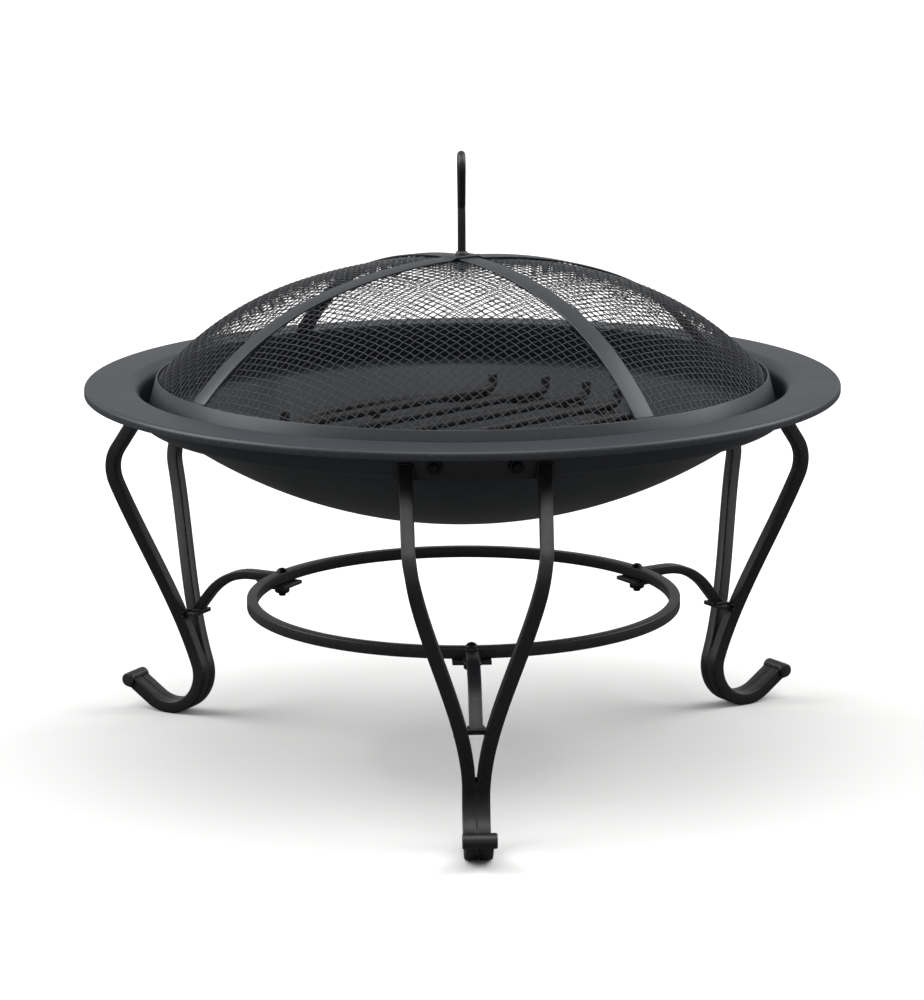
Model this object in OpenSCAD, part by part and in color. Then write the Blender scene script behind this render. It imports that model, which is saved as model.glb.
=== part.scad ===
// Round steel fire pit on three bent-bar legs, with a lift-off spark screen
// and a loose log grate. Origin: on the floor, under the axis of the bowl.

/* [Bowl] */
// Outside diameter of the bowl's rim
rim_d = 560; // [500:5:640]
// Height of the rim's flat top above the floor
rim_h = 289; // [270:1:340]
// Width of the rim, from its edge to the inside of the wall
rim_w = 41; // [30:1:55]
// Thickness of the bowl's sheet
bowl_t = 1.2; // [0.8:0.1:2]
// Height of the upright wall, from the rim's top to the ledge
wall_h = 26; // [22:1:36]
// Width of the ledge that the screen stands on
ledge_w = 16; // [12:1:24]
// Depth of the dish below the ledge
dish_h = 76; // [60:1:90]

/* [Legs] */
// Side of the square bar that the legs are bent from
bar_w = 9.5; // [8:0.5:11]
// Distance between the two bars of a leg at the top
leg_spread = 95; // [80:1:110]
// How far the legs bulge out past the bowl's wall
leg_bulge = 44; // [30:1:50]
// Radius of the bend at the top of a bar
top_bend = 32; // [26:1:38]
// Height of the middle of the bend under the rim
bulge_h = 200; // [190:1:215]
// How far the foot's inner side lies in from the bulge
leg_lean = 51; // [44:1:58]
// Radius of the bend at the foot
foot_bend = 29; // [24:1:33]
// Length of the straight toe that runs up to the roller
toe_len = 23; // [18:1:28]
// Diameter of the roller across the toes
roller_d = 11; // [9:0.5:14]
// Length of the roller
roller_len = 24; // [21:1:34]

/* [Lower ring] */
// Outside diameter of the lower ring
ring_d = 326; // [290:2:350]
// Height of the lower ring's top above the floor
ring_h = 124; // [112:1:134]
// Width of the ring's bar, seen from above
ring_w = 8; // [7:0.5:10]
// Height of the ring's bar
ring_t = 8.5; // [7:0.5:10]
// Thickness of the arms that carry the ring
arm_t = 7; // [6:0.5:8]

/* [Spark screen] */
// Height of the dome's top above the rim's flat top
dome_h = 89; // [75:1:110]
// Radius of the dome's flatter middle part
crown_r = 400; // [380:5:460]
// Width of the two flat straps
strap_w = 16; // [12:1:20]
// Thickness of the straps and of the base band
strap_t = 1.6; // [1.2:0.1:2]
// Turn of the upper strap about the axis; the lower one crosses it squarely
strap_turn = 32; // [0:1:60]
// Height of the conical base band
band_h = 30; // [26:1:34]
// Diameter of the handle's rod
rod_d = 6; // [5:0.5:7]
// Height of the handle above the dome
handle_h = 80; // [70:1:100]

/* [Log grate] */
// Diameter of the grate's wire ring
grate_d = 254; // [220:2:280]
// Height of the wire ring above the floor
grate_z = 250; // [246:1:254]
// Diameter of the grate's wire
wire_d = 7; // [6:0.5:8]
// Distance between neighbouring bars
bar_step = 38; // [30:1:40]
// Turn of the bars about the axis
bar_turn = 43; // [0:1:90]

/* [Fasteners] */
// Thread diameter of all the bolts
bolt_d = 6; // [5:0.5:6.5]
// Width across flats of the nuts
nut_af = 10; // [9:0.5:11]

/* [Hidden] */
$fn = 96;

// Clearances and small fixed sizes
hole_gap = 0.6;        // how much wider a bolt hole is than its bolt
fit_gap = 0.3;         // between pieces that lift apart
touch_gap = 0.05;      // between pieces that are welded along a slanted face
eps = 0.1;             // how far a cutter runs past the face that it cuts
arc_lap = 0.05;        // angle by which two arcs that join run into each other
leg_turns = [-90, 30, 150];

// Bowl: radii and heights of its profile, on the inside of the sheet
rim_r = rim_d / 2;
wall_r = rim_r - rim_w;
roll_r = 10;
lip_r = 3;
lip_h = 3;
ledge_z = rim_h - wall_h;
corner_r = 4;
dish_edge_r = wall_r - ledge_w;
dish_r = (dish_edge_r * dish_edge_r + dish_h * dish_h) / (2 * dish_h);
dish_centre_z = ledge_z - dish_h + dish_r;
bowl_out_r = wall_r + bowl_t;

// Leg: plate on the bowl's wall, then the path of a bar's middle line
plate_t = 4;
plate_z0 = ledge_z - bowl_t;
plate_z1 = rim_h - roll_r - 1;   // just under the rounded corner of the rim
plate_out_r = bowl_out_r + plate_t;
plate_side = 4;
bar_r_max = wall_r + leg_bulge;
top_bend_r = bar_r_max - top_bend;
top_bend_z = bulge_h;
// a bar leaves the plate on a slant that runs straight into the bend under the rim
start_over = 8;                  // how far above the plate's lower edge a bar starts
top_start = [bowl_out_r, plate_z0 + start_over];
bend_to_start = top_start - [top_bend_r, top_bend_z];
start_turn = atan2(bend_to_start[1], bend_to_start[0]) - acos(top_bend / norm(bend_to_start));
foot_r_min = bar_r_max - leg_lean;
foot_bend_r = foot_r_min + foot_bend;
foot_bend_z = foot_bend + bar_w / 2;
toe_angle = 35;
toe_r = foot_bend_r + foot_bend * sin(toe_angle) + toe_len * cos(toe_angle);
toe_z = foot_bend_z - foot_bend * cos(toe_angle) + toe_len * sin(toe_angle);
// the straight runs from the outside of the top bend to the inside of the foot bend
bend_run = norm([top_bend_r - foot_bend_r, top_bend_z - foot_bend_z]);
bend_lean = atan2(foot_bend_r - top_bend_r, top_bend_z - foot_bend_z);
straight_turn = asin((top_bend + foot_bend) / bend_run) - bend_lean;
// spacing of the two bars: side by side at the foot, spread at the top
pair_gap = 0.5;
bar_side = (bar_w + pair_gap) / 2;
spread_z0 = 38;
spread_z1 = plate_z0 - 27;       // the bars stand upright above this height

// Lower ring, and the arms and pads that carry it
ring_r = ring_d / 2;
ring_mid_r = ring_r - ring_w / 2;
ring_z0 = ring_h - ring_t;
pad_t = 3;
pad_len = 28;
pad_in = 6;
pad_out = 6;
arm_bend = 50;
tab_t = 3.2;
tab_z = 85;
tab_over = 1;          // how far the tab reaches past the middle line of each bar
// an arm lies level on its pad and past it, then bends down and runs straight to its tab
arm_level = 22;        // level part outside the ring
arm_z = ring_z0 + arm_t / 2;
arm_foot = [leg_inner_r(tab_z) - bar_w / 2, tab_z];
arm_level_r = ring_r + arm_level;
arm_run = arm_foot[0] - arm_level_r;
arm_drop = arm_z - tab_z;
// the largest bend that still reaches the foot, less a tenth
arm_bend_r = min(arm_bend, 0.9 * (arm_run * arm_run + arm_drop * arm_drop) / (2 * arm_drop));
arm_bend_c = [arm_level_r, arm_z - arm_bend_r];
bend_to_foot = arm_foot - arm_bend_c;
arm_turn = 90 - atan2(bend_to_foot[1], bend_to_foot[0]) - acos(arm_bend_r / norm(bend_to_foot));
nut_h = 5;
nut_edge = 0.4;        // width of a nut's flat end outside its flats
head_h = 3;
tip = 2.5;             // how far a bolt ends past its nut

// Bolts through the bowl's wall
bowl_bolt_side = 27;
bowl_head_d = 1.5 * bolt_d;
bowl_head_h = 2.2;
head_gap = 0.2;        // between a head's lowest point and the foot of the straight wall
bowl_bolt_z = ledge_z + corner_r + bowl_head_d / 2 + head_gap;

// Spark screen: the dome's outside is a flat crown arc and a tighter shoulder arc
band_t = 1.5;
mesh_t = 1;
band_z0 = ledge_z + fit_gap;
band_z1 = band_z0 + band_h;
band_gap = 3.8;        // between the bowl's wall and the foot of the band
band_r0 = wall_r - band_gap;
band_slope = 0.27;
band_r1 = band_r0 - band_slope * band_h;
dome_z = rim_h + dome_h;
dome_edge_r = band_r1 - band_t;
mesh_tuck = 2;         // how far the mesh reaches down inside the band
strap_gap = 0.1;       // between the band's top edge and the straps' ends
dome_edge_z = band_z1 - mesh_tuck;
crown_edge_r = 130;
crown_turn = asin(crown_edge_r / crown_r);
dome_edge = [dome_edge_r, dome_edge_z - dome_z + crown_r];
crown_dir = [sin(crown_turn), cos(crown_turn)];
edge_dot = dome_edge * crown_dir;
shoulder_r = (dome_edge * dome_edge - 2 * crown_r * edge_dot + crown_r * crown_r)
           / (2 * (crown_r - edge_dot));
shoulder_c = (crown_r - shoulder_r) * crown_dir + [0, dome_z - crown_r];
shoulder_end = atan2(dome_edge_r - shoulder_c[0], dome_edge_z - shoulder_c[1]);
eye_r = 9;
eye_z = dome_z + handle_h - eye_r - rod_d / 2;
eye_run = 22;          // between the centres of the eye's two half rings
step_gap = 2.5;        // between the lower strap's side and the step in the upper one
washer_d = 14;
washer_t = 1.2;

// Log grate
grate_r = grate_d / 2;
bar_z = grate_z + wire_d;
bar_over = 8;
bar_tip_h = 12;
foot_turns = [0, 120, 240];
ring_cut_turn = 20;    // half of the turn over which the ring is cut out of a foot's top

// ---- shared shapes ----

// 2D: part of a flat ring, from angle a0 to a1, counted from +X towards +Y
module arc_band(r, w, a0, a1) {
    reach = 2 * (r + w);
    intersection() {
        difference() {
            circle(r + w / 2, $fn = 180);
            circle(r - w / 2, $fn = 180);
        }
        polygon([
            [0, 0],
            for (i = [0:4]) reach * [cos(a0 + (a1 - a0) * i / 4), sin(a0 + (a1 - a0) * i / 4)]
        ]);
    }
}

// 2D: a straight strip of width w from p to q
module strip(p, q, w) {
    run = q - p;
    side = [-run[1], run[0]] / norm(run) * w / 2;
    polygon([p - side, q - side, q + side, p + side]);
}

function unit(v) = v / norm(v);

// points along an arc about c, from angle a0 to a1
function arc_points(c, r, a0, a1, steps) =
    [for (i = [0:steps]) c + r * [cos(a0 + (a1 - a0) * i / steps), sin(a0 + (a1 - a0) * i / steps)]];

// sideways step from point i of a path to the edge of a band 2 wide, mitred at the corners
function band_side(path, i) =
    let (
        last = len(path) - 1,
        before = unit(path[max(i, 1)] - path[max(i, 1) - 1]),
        after = unit(path[min(i, last - 1) + 1] - path[min(i, last - 1)]),
        along = unit(before + after)
    )
    [-along[1], along[0]] / (along * before);

// 2D: a band of width w along a path of points
module path_band(path, w) {
    polygon(concat(
        [for (i = [0:len(path) - 1]) path[i] + band_side(path, i) * w / 2],
        [for (i = [len(path) - 1:-1:0]) path[i] - band_side(path, i) * w / 2]
    ));
}

// stands a 2D side view (radius, height) up in the plane of a leg
module side_view(width) {
    rotate([90, 0, 0])
        translate([0, 0, -width / 2])
            linear_extrude(width)
                children();
}

// a bolt with a low domed head: the head's seat is at z = 0, the shank runs down
module dome_bolt(d, length, head_d, head_height) {
    cap_r = (head_d * head_d / 4 + head_height * head_height) / (2 * head_height);
    translate([0, 0, -length])
        cylinder(d = d, h = length);
    intersection() {
        cylinder(d = head_d, h = head_height);
        translate([0, 0, head_height - cap_r])
            sphere(cap_r);
    }
}

// a hexagon nut standing on z = 0, bored for a thread of diameter d
module hex_nut(d, af, h) {
    difference() {
        intersection() {
            cylinder(d = af / cos(30), h = h, $fn = 6);
            translate([0, 0, -eps])
                cylinder(r1 = af / 2 + nut_edge + h + eps, r2 = af / 2 + nut_edge, h = h + eps);
        }
        translate([0, 0, -eps])
            cylinder(d = d, h = h + 2 * eps);
    }
}

// ---- bowl ----

// 2D profile of the sheet, from the rolled edge of the rim to the middle of the dish
module bowl_profile() {
    mid = bowl_t / 2;
    dish_mid_r = dish_r + mid;
    dish_turn = acos((dish_centre_z - ledge_z + mid) / dish_mid_r);
    centre_turn = dish_turn / 20;
    path_band(concat(
        [[rim_r - mid, rim_h - lip_r - lip_h]],
        arc_points([rim_r - lip_r, rim_h - lip_r], lip_r - mid, 0, 90, 6),
        arc_points([wall_r + roll_r, rim_h - roll_r], roll_r - mid, 90, 180, 10),
        arc_points([wall_r - corner_r, ledge_z + corner_r], corner_r + mid, 0, -90, 6),
        arc_points([0, dish_centre_z], dish_mid_r, dish_turn - 90, centre_turn - 90, 19),
        [[0, dish_centre_z - dish_mid_r * cos(centre_turn)]]
    ), bowl_t);
}

module fire_bowl() {
    color("#3c3f42")
        difference() {
            rotate_extrude($fn = 180)
                bowl_profile();
            bowl_bolt_holes();
        }
}

// places children at the bolts of every leg plate, with the children's +Z pointing in
module at_bowl_bolts(radius) {
    for (turn = leg_turns, side = [-1, 1])
        rotate([0, 0, turn + side * asin(bowl_bolt_side / bowl_out_r)])
            translate([radius, 0, bowl_bolt_z])
                rotate([0, -90, 0])
                    children();
}

module bowl_bolt_holes() {
    at_bowl_bolts(plate_out_r + eps)
        cylinder(d = bolt_d + hole_gap, h = plate_t + bowl_t + 2 * eps);
}

// ---- legs ----

// a curved plate that lies on the bowl's wall and carries the two bars of one leg
module leg_plate(turn) {
    half_turn = asin((leg_spread / 2 + bar_w / 2 + plate_side) / plate_out_r);
    color("#2a2c2e")
        difference() {
            rotate([0, 0, turn - half_turn])
                rotate_extrude(angle = 2 * half_turn, $fn = 180)
                    translate([bowl_out_r, plate_z0])
                        square([plate_t, plate_z1 - plate_z0]);
            bowl_bolt_holes();
        }
}

// 2D side view of a bar: over the top bend, down the straight, round the foot, up the toe
module bar_side_view() {
    top_c = [top_bend_r, top_bend_z];
    foot_c = [foot_bend_r, foot_bend_z];
    normal = [cos(straight_turn), -sin(straight_turn)];
    start_normal = [cos(start_turn), sin(start_turn)];
    start_back = bar_w * [-start_normal[1], start_normal[0]];
    toe_start = foot_c + foot_bend * [sin(toe_angle), -cos(toe_angle)];
    strip(top_start + start_back, top_c + top_bend * start_normal, bar_w);
    translate(top_c)
        arc_band(top_bend, bar_w, -straight_turn, start_turn);
    strip(top_c + top_bend * normal, foot_c - foot_bend * normal, bar_w);
    translate(foot_c)
        arc_band(foot_bend, bar_w, 180 - straight_turn, 270 + toe_angle);
    strip(toe_start, [toe_r, toe_z], bar_w);
}

// distance of a bar's middle line from the middle of the leg, at height z
function bar_offset(z) =
    let (u = min(1, max(0, (z - spread_z0) / (spread_z1 - spread_z0))))
    bar_side + (leg_spread / 2 - bar_side) * u * u * (3 - 2 * u);

// slope of that line, sideways per height
function bar_slope(z) =
    let (u = min(1, max(0, (z - spread_z0) / (spread_z1 - spread_z0))))
    (leg_spread / 2 - bar_side) * 6 * u * (1 - u) / (spread_z1 - spread_z0);

// 2D front view of a bar: a strip that keeps its width along the curve
module bar_front_view() {
    steps = 24;
    heights = concat(
        [-bar_w],
        [for (i = [0:steps]) spread_z0 + (spread_z1 - spread_z0) * i / steps],
        [rim_h]
    );
    function edge(z, side) =
        let (s = bar_slope(z), k = side * bar_w / 2 / sqrt(1 + s * s))
        [bar_offset(z) + k, z - k * s];
    polygon(concat(
        [for (z = heights) edge(z, 1)],
        [for (i = [len(heights) - 1:-1:0]) edge(heights[i], -1)]
    ));
}

// one bar of a leg: side is -1 or 1
module leg_bar(turn, side) {
    color("#2a2c2e")
        rotate([0, 0, turn])
            difference() {
                intersection() {
                    side_view(leg_spread + 4 * bar_w)
                        bar_side_view();
                    scale([1, side, 1])
                        rotate([90, 0, 90])
                            linear_extrude(rim_r + leg_bulge)
                                bar_front_view();
                }
                translate([0, 0, plate_z0 - bar_w])
                    cylinder(r = plate_out_r, h = rim_h - plate_z0, $fn = 180);
                roller_shape(0);
            }
}

module roller_shape(turn) {
    rotate([0, 0, turn])
        translate([toe_r, roller_len / 2, toe_z])
            rotate([90, 0, 0])
                cylinder(d = roller_d, h = roller_len);
}

module foot_roller(turn) {
    color("#2a2c2e")
        roller_shape(turn);
}

// ---- lower ring and what carries it ----

// the small plate across the back of a leg's two bars, under the foot of the arm
module leg_tab(turn) {
    half_w = bar_offset(tab_z) + tab_over;
    color("#2a2c2e")
        rotate([0, 0, turn])
            translate([leg_inner_r(tab_z - tab_t) - bar_w, -half_w, tab_z - tab_t])
                cube([bar_w, 2 * half_w, tab_t]);
}

// radius of the inner side of a leg's bars at height z on the straight
function leg_inner_r(z) =
    top_bend_r + (top_bend * cos(straight_turn))
    - (top_bend_z - top_bend * sin(straight_turn) - z) * tan(straight_turn)
    - bar_w / 2 / cos(straight_turn) - touch_gap;

// an arm: up from its tab at a slant, then level to the outside of the ring
module ring_arm(turn) {
    color("#2a2c2e")
        rotate([0, 0, turn])
            difference() {
                side_view(bar_w)
                    intersection() {
                        path_band(concat(
                            [arm_foot + arm_t * [cos(arm_turn), -sin(arm_turn)]],
                            arc_points(arm_bend_c, arm_bend_r, 90 - arm_turn, 90, 9),
                            [[ring_mid_r, arm_z]]
                        ), arm_t);
                        arm_space();
                    }
                translate([0, 0, ring_z0 - eps])
                    cylinder(r = ring_r, h = ring_t + 2 * eps, $fn = 180);
            }
}

// 2D: the space of an arm, above its tab and inside the leg's straight
module arm_space() {
    high = ring_h;
    polygon([
        [0, tab_z],
        [leg_inner_r(tab_z), tab_z],
        [leg_inner_r(high), high],
        [0, high]
    ]);
}

// the small plate under the end of an arm, which the ring is bolted to
module arm_pad(turn) {
    color("#2a2c2e")
        rotate([0, 0, turn])
            difference() {
                translate([ring_r - ring_w - pad_in, -pad_len / 2, ring_z0 - pad_t])
                    cube([pad_in + ring_w + pad_out, pad_len, pad_t]);
                translate([ring_mid_r, 0, ring_z0 - pad_t - eps])
                    cylinder(d = bolt_d + hole_gap, h = pad_t + 2 * eps);
            }
}

module lower_ring() {
    color("#2a2c2e")
        difference() {
            rotate_extrude($fn = 180)
                translate([ring_r - ring_w, ring_z0])
                    square([ring_w, ring_t]);
            for (turn = leg_turns)
                rotate([0, 0, turn])
                    translate([ring_mid_r, 0, ring_z0 - eps])
                        cylinder(d = bolt_d + hole_gap, h = ring_t + 2 * eps);
        }
}

module ring_bolts() {
    color("#33363a")
        for (turn = leg_turns)
            rotate([0, 0, turn])
                translate([ring_mid_r, 0, ring_h])
                    dome_bolt(bolt_d, ring_t + pad_t + nut_h + tip, 1.5 * bolt_d, head_h);
}

module ring_nuts() {
    color("#33363a")
        for (turn = leg_turns)
            rotate([0, 0, turn])
                translate([ring_mid_r, 0, ring_z0 - pad_t])
                    mirror([0, 0, 1])
                        hex_nut(bolt_d, nut_af, nut_h);
}

module bowl_bolts() {
    color("#33363a")
        at_bowl_bolts(wall_r - eps)
            dome_bolt(bolt_d, plate_t + bowl_t + eps + nut_h + tip, bowl_head_d, bowl_head_h);
}

module bowl_nuts() {
    color("#33363a")
        at_bowl_bolts(plate_out_r)
            mirror([0, 0, 1])
                hex_nut(bolt_d, nut_af, nut_h);
}

// ---- log grate ----

// a round bar lying along +X from -half to half, through the origin
module wire(half) {
    rotate([0, 90, 0])
        translate([0, 0, -half])
            cylinder(d = wire_d, h = 2 * half, $fn = 48);
}

module grate_ring() {
    color("#26282a")
        rotate_extrude($fn = 144)
            translate([grate_r, grate_z])
                circle(d = wire_d, $fn = 48);
}

// one bar across the ring, lying on it, with both ends turned up
module grate_bar(number) {
    offset_y = (number - 3) * bar_step;
    half = sqrt(grate_r * grate_r - offset_y * offset_y) + bar_over;
    color("#26282a")
        rotate([0, 0, bar_turn])
            translate([0, offset_y, bar_z]) {
                wire(half);
                for (end = [-half, half])
                    translate([end, 0, 0]) {
                        sphere(d = wire_d, $fn = 48);
                        cylinder(d = wire_d, h = bar_tip_h, $fn = 48);
                    }
            }
}

// a leg of the grate, hanging from the ring and ending just above the dish
module grate_foot(turn) {
    reach = dish_r - wire_d / 2 - fit_gap - eps;
    foot_z = dish_centre_z - sqrt(reach * reach - grate_r * grate_r);
    color("#26282a")
        rotate([0, 0, turn])
            difference() {
                translate([grate_r, 0, 0]) {
                    translate([0, 0, foot_z])
                        sphere(d = wire_d, $fn = 48);
                    translate([0, 0, foot_z])
                        cylinder(d = wire_d, h = grate_z - foot_z, $fn = 48);
                }
                rotate([0, 0, -ring_cut_turn])
                    rotate_extrude(angle = 2 * ring_cut_turn, $fn = 144)
                        translate([grate_r, grate_z])
                            circle(d = wire_d, $fn = 48);
            }
}

// ---- spark screen ----

// 2D: the dome's shell between two offsets from its outer surface, right of the axis
module dome_profile(inner, outer) {
    width = outer - inner;
    mid = (outer + inner) / 2;
    translate([0, dome_z - crown_r])
        arc_band(crown_r + mid, width, 90 - crown_turn - arc_lap, 90);
    translate(shoulder_c)
        arc_band(shoulder_r + mid, width, 90 - shoulder_end, 90 - crown_turn);
}

module screen_mesh() {
    color("#1c1d1f", 0.6)
        difference() {
            rotate_extrude($fn = 180)
                intersection() {
                    dome_profile(-mesh_t, 0);
                    square([rim_r, dome_z + 1]);
                }
            handle_hole();
        }
}

// the conical strip round the foot of the screen
module screen_band() {
    color("#35383b")
        rotate_extrude($fn = 180)
            polygon([
                [band_r0 - band_t, band_z0],
                [band_r0, band_z0],
                [band_r1, band_z1],
                [band_r1 - band_t, band_z1]
            ]);
}

// a flat strap over the dome: inner and outer are offsets from the dome's outside, and near and
// far are the distances from the axis between which it is drawn, on both sides
module strap_shape(turn, inner, outer, near, far) {
    rotate([0, 0, turn])
        intersection() {
            rotate_extrude($fn = 180)
                intersection() {
                    dome_profile(inner, outer);
                    translate([0, band_z1 + strap_gap])
                        square([rim_r, dome_z]);
                }
            for (side = [0, 180])
                rotate([0, 0, side])
                    translate([near, -strap_w / 2, 0])
                        cube([far - near, strap_w, dome_z + strap_w]);
        }
}

// the hole for the handle's rod, through the mesh and both straps
module handle_hole() {
    translate([0, 0, dome_z - strap_w])
        cylinder(d = rod_d + hole_gap, h = 2 * strap_w);
}

module lower_strap() {
    color("#35383b")
        difference() {
            strap_shape(strap_turn + 90, 0, strap_t, -eps, rim_r);
            handle_hole();
        }
}

// lies on the dome, and steps up over the lower strap where the two cross
module upper_strap() {
    step_in = strap_w / 2 + step_gap;
    color("#35383b")
        difference() {
            union() {
                strap_shape(strap_turn, 0, strap_t, step_in, rim_r);
                strap_shape(strap_turn, strap_t, 2 * strap_t, -eps, step_in + strap_t);
            }
            handle_hole();
        }
}

// a half ring of the handle's rod in the plane of the eye: side 1 is the upper half
module eye_half(height, side) {
    translate([0, 0, height])
        rotate([90, 0, 90])
            rotate([0, 0, side > 0 ? 0 : 180])
                rotate_extrude(angle = 180, $fn = 96)
                    translate([eye_r, 0])
                        circle(d = rod_d, $fn = 64);
}

// a threaded rod with a shoulder, closed at the top into a long eye
module screen_handle() {
    seat_z = dome_z + 2 * strap_t;
    stud_z = dome_z - mesh_t - washer_t - nut_h - tip;
    eye_low = eye_z - eye_run;
    weld_z = eye_low - eye_r;
    color("#232527") {
        translate([0, 0, stud_z])
            cylinder(d = rod_d, h = weld_z - 1 - stud_z, $fn = 64);
        translate([0, 0, seat_z])
            cylinder(d1 = 1.6 * rod_d, d2 = 1.1 * rod_d, h = rod_d / 2, $fn = 64);
        translate([0, 0, weld_z - rod_d / 2])
            cylinder(d = 1.25 * rod_d, h = 0.7 * rod_d, $fn = 64);
        eye_half(eye_z, 1);
        eye_half(eye_low, -1);
        for (side = [-1, 1])
            translate([0, side * eye_r, eye_low])
                cylinder(d = rod_d, h = eye_run, $fn = 64);
    }
}

module handle_washer() {
    color("#5a5d60")
        translate([0, 0, dome_z - mesh_t - eps - washer_t])
            difference() {
                cylinder(d = washer_d, h = washer_t);
                translate([0, 0, -eps])
                    cylinder(d = rod_d + hole_gap, h = washer_t + 2 * eps);
            }
}

module handle_nut() {
    color("#5a5d60")
        translate([0, 0, dome_z - mesh_t - eps - washer_t])
            mirror([0, 0, 1])
                hex_nut(rod_d, nut_af, nut_h);
}

fire_bowl();
leg_plate(leg_turns[0]);  // front_leg_plate
leg_plate(leg_turns[1]);  // right_leg_plate
leg_plate(leg_turns[2]);  // left_leg_plate
leg_bar(leg_turns[0], -1);  // front_leg_bar_a
leg_bar(leg_turns[0], 1);  // front_leg_bar_b
leg_bar(leg_turns[1], -1);  // right_leg_bar_a
leg_bar(leg_turns[1], 1);  // right_leg_bar_b
leg_bar(leg_turns[2], -1);  // left_leg_bar_a
leg_bar(leg_turns[2], 1);  // left_leg_bar_b
leg_tab(leg_turns[0]);  // front_leg_tab
leg_tab(leg_turns[1]);  // right_leg_tab
leg_tab(leg_turns[2]);  // left_leg_tab
foot_roller(leg_turns[0]);  // front_foot_roller
foot_roller(leg_turns[1]);  // right_foot_roller
foot_roller(leg_turns[2]);  // left_foot_roller
ring_arm(leg_turns[0]);  // front_ring_arm
ring_arm(leg_turns[1]);  // right_ring_arm
ring_arm(leg_turns[2]);  // left_ring_arm
arm_pad(leg_turns[0]);  // front_arm_pad
arm_pad(leg_turns[1]);  // right_arm_pad
arm_pad(leg_turns[2]);  // left_arm_pad
lower_ring();
ring_bolts();
ring_nuts();
bowl_bolts();
bowl_nuts();
grate_ring();
grate_bar(1);  // grate_bar_1
grate_bar(2);  // grate_bar_2
grate_bar(3);  // grate_bar_3
grate_bar(4);  // grate_bar_4
grate_bar(5);  // grate_bar_5
grate_foot(foot_turns[0]);  // grate_foot_1
grate_foot(foot_turns[1]);  // grate_foot_2
grate_foot(foot_turns[2]);  // grate_foot_3
screen_band();
screen_mesh();
lower_strap();
upper_strap();
screen_handle();
handle_washer();
handle_nut();
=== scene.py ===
"""Round steel fire pit with a log grate and a spark screen, finished round its CAD frame."""

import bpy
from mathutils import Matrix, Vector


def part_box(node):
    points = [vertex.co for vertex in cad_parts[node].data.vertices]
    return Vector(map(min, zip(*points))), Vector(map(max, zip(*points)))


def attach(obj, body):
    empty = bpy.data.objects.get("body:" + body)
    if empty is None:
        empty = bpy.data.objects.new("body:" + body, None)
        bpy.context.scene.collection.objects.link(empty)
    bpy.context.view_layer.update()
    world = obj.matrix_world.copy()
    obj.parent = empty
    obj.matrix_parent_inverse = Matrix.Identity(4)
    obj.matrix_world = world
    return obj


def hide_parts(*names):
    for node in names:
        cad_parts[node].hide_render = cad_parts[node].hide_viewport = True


bl_info = {
    "name": "Fire pit with grate",
    "version": (1, 0, 0),
    "blender": (4, 5, 0),
    "location": "3D View > Sidebar > Fire Pit",
    "description": "Builds the finished pieces of a steel fire pit round its CAD frame",
    "category": "Object",
}

import math
from functools import partial

import bmesh
import bpy
from mathutils import Euler, Matrix, Vector

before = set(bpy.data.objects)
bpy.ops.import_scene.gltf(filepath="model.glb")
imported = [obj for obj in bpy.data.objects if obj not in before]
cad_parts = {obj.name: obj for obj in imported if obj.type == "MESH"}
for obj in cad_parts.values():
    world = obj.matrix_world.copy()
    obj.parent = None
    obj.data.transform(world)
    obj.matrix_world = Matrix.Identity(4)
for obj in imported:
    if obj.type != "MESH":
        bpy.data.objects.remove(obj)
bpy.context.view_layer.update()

MM = 0.001
UP = Vector((0, 0, 1))
LEG_TURNS = {"front": -90.0, "right": 30.0, "left": 150.0}

# Shapes that the CAD fixes and the frame's boxes don't show, in degrees, ratios and metres
STRAP_TURNS = {"upper_strap": 32.0, "lower_strap": 122.0}
GRATE_TURN = 43.0
GRATE_BARS = range(1, 6)
GRATE_FOOT_TURNS = {1: 0.0, 2: 120.0, 3: 240.0}
WEAVE_TURN = 43.0
TOE_TURN = 35.0
BAND_SLOPE = 0.27
BAND_T = 1.5 * MM
RING_W = 8 * MM
EYE_NECK = 34 * MM  # from the middle of the handle's eye down to its neck

# Sizes that the frame itself gives
RIM_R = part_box("fire_bowl")[1].x
RIM_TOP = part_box("fire_bowl")[1].z
BOWL_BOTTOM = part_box("fire_bowl")[0].z
BAND_LOW, BAND_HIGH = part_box("screen_band")
DOME_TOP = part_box("screen_mesh")[1].z
RING_LOW, RING_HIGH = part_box("lower_ring")
PLATE_LOW, PLATE_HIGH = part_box("front_leg_plate")
TAB_LOW, TAB_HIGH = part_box("front_leg_tab")
PAD_LOW, PAD_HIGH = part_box("front_arm_pad")
ROLLER_LOW, ROLLER_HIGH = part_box("front_foot_roller")
GRATE_LOW, GRATE_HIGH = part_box("grate_ring")


# ---- settings ----


def linear(hex_colour):
    """An sRGB hex colour as linear red, green, blue and alpha."""
    parts = [int(hex_colour[i : i + 2], 16) / 255 for i in (1, 3, 5)]
    curve = [c / 12.92 if c <= 0.04045 else ((c + 0.055) / 1.055) ** 2.4 for c in parts]
    return (*curve, 1.0)


def size_setting(label, text, mm):
    """A length that the user may change, given in millimetres."""
    return bpy.props.FloatProperty(
        name=label, description=text, default=mm * MM, min=0.0, precision=5, unit="LENGTH"
    )


def colour_setting(label, text, hex_colour):
    """A colour that the user may change."""
    return bpy.props.FloatVectorProperty(
        name=label,
        description=text,
        default=linear(hex_colour),
        size=4,
        min=0.0,
        max=1.0,
        subtype="COLOR",
    )


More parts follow.
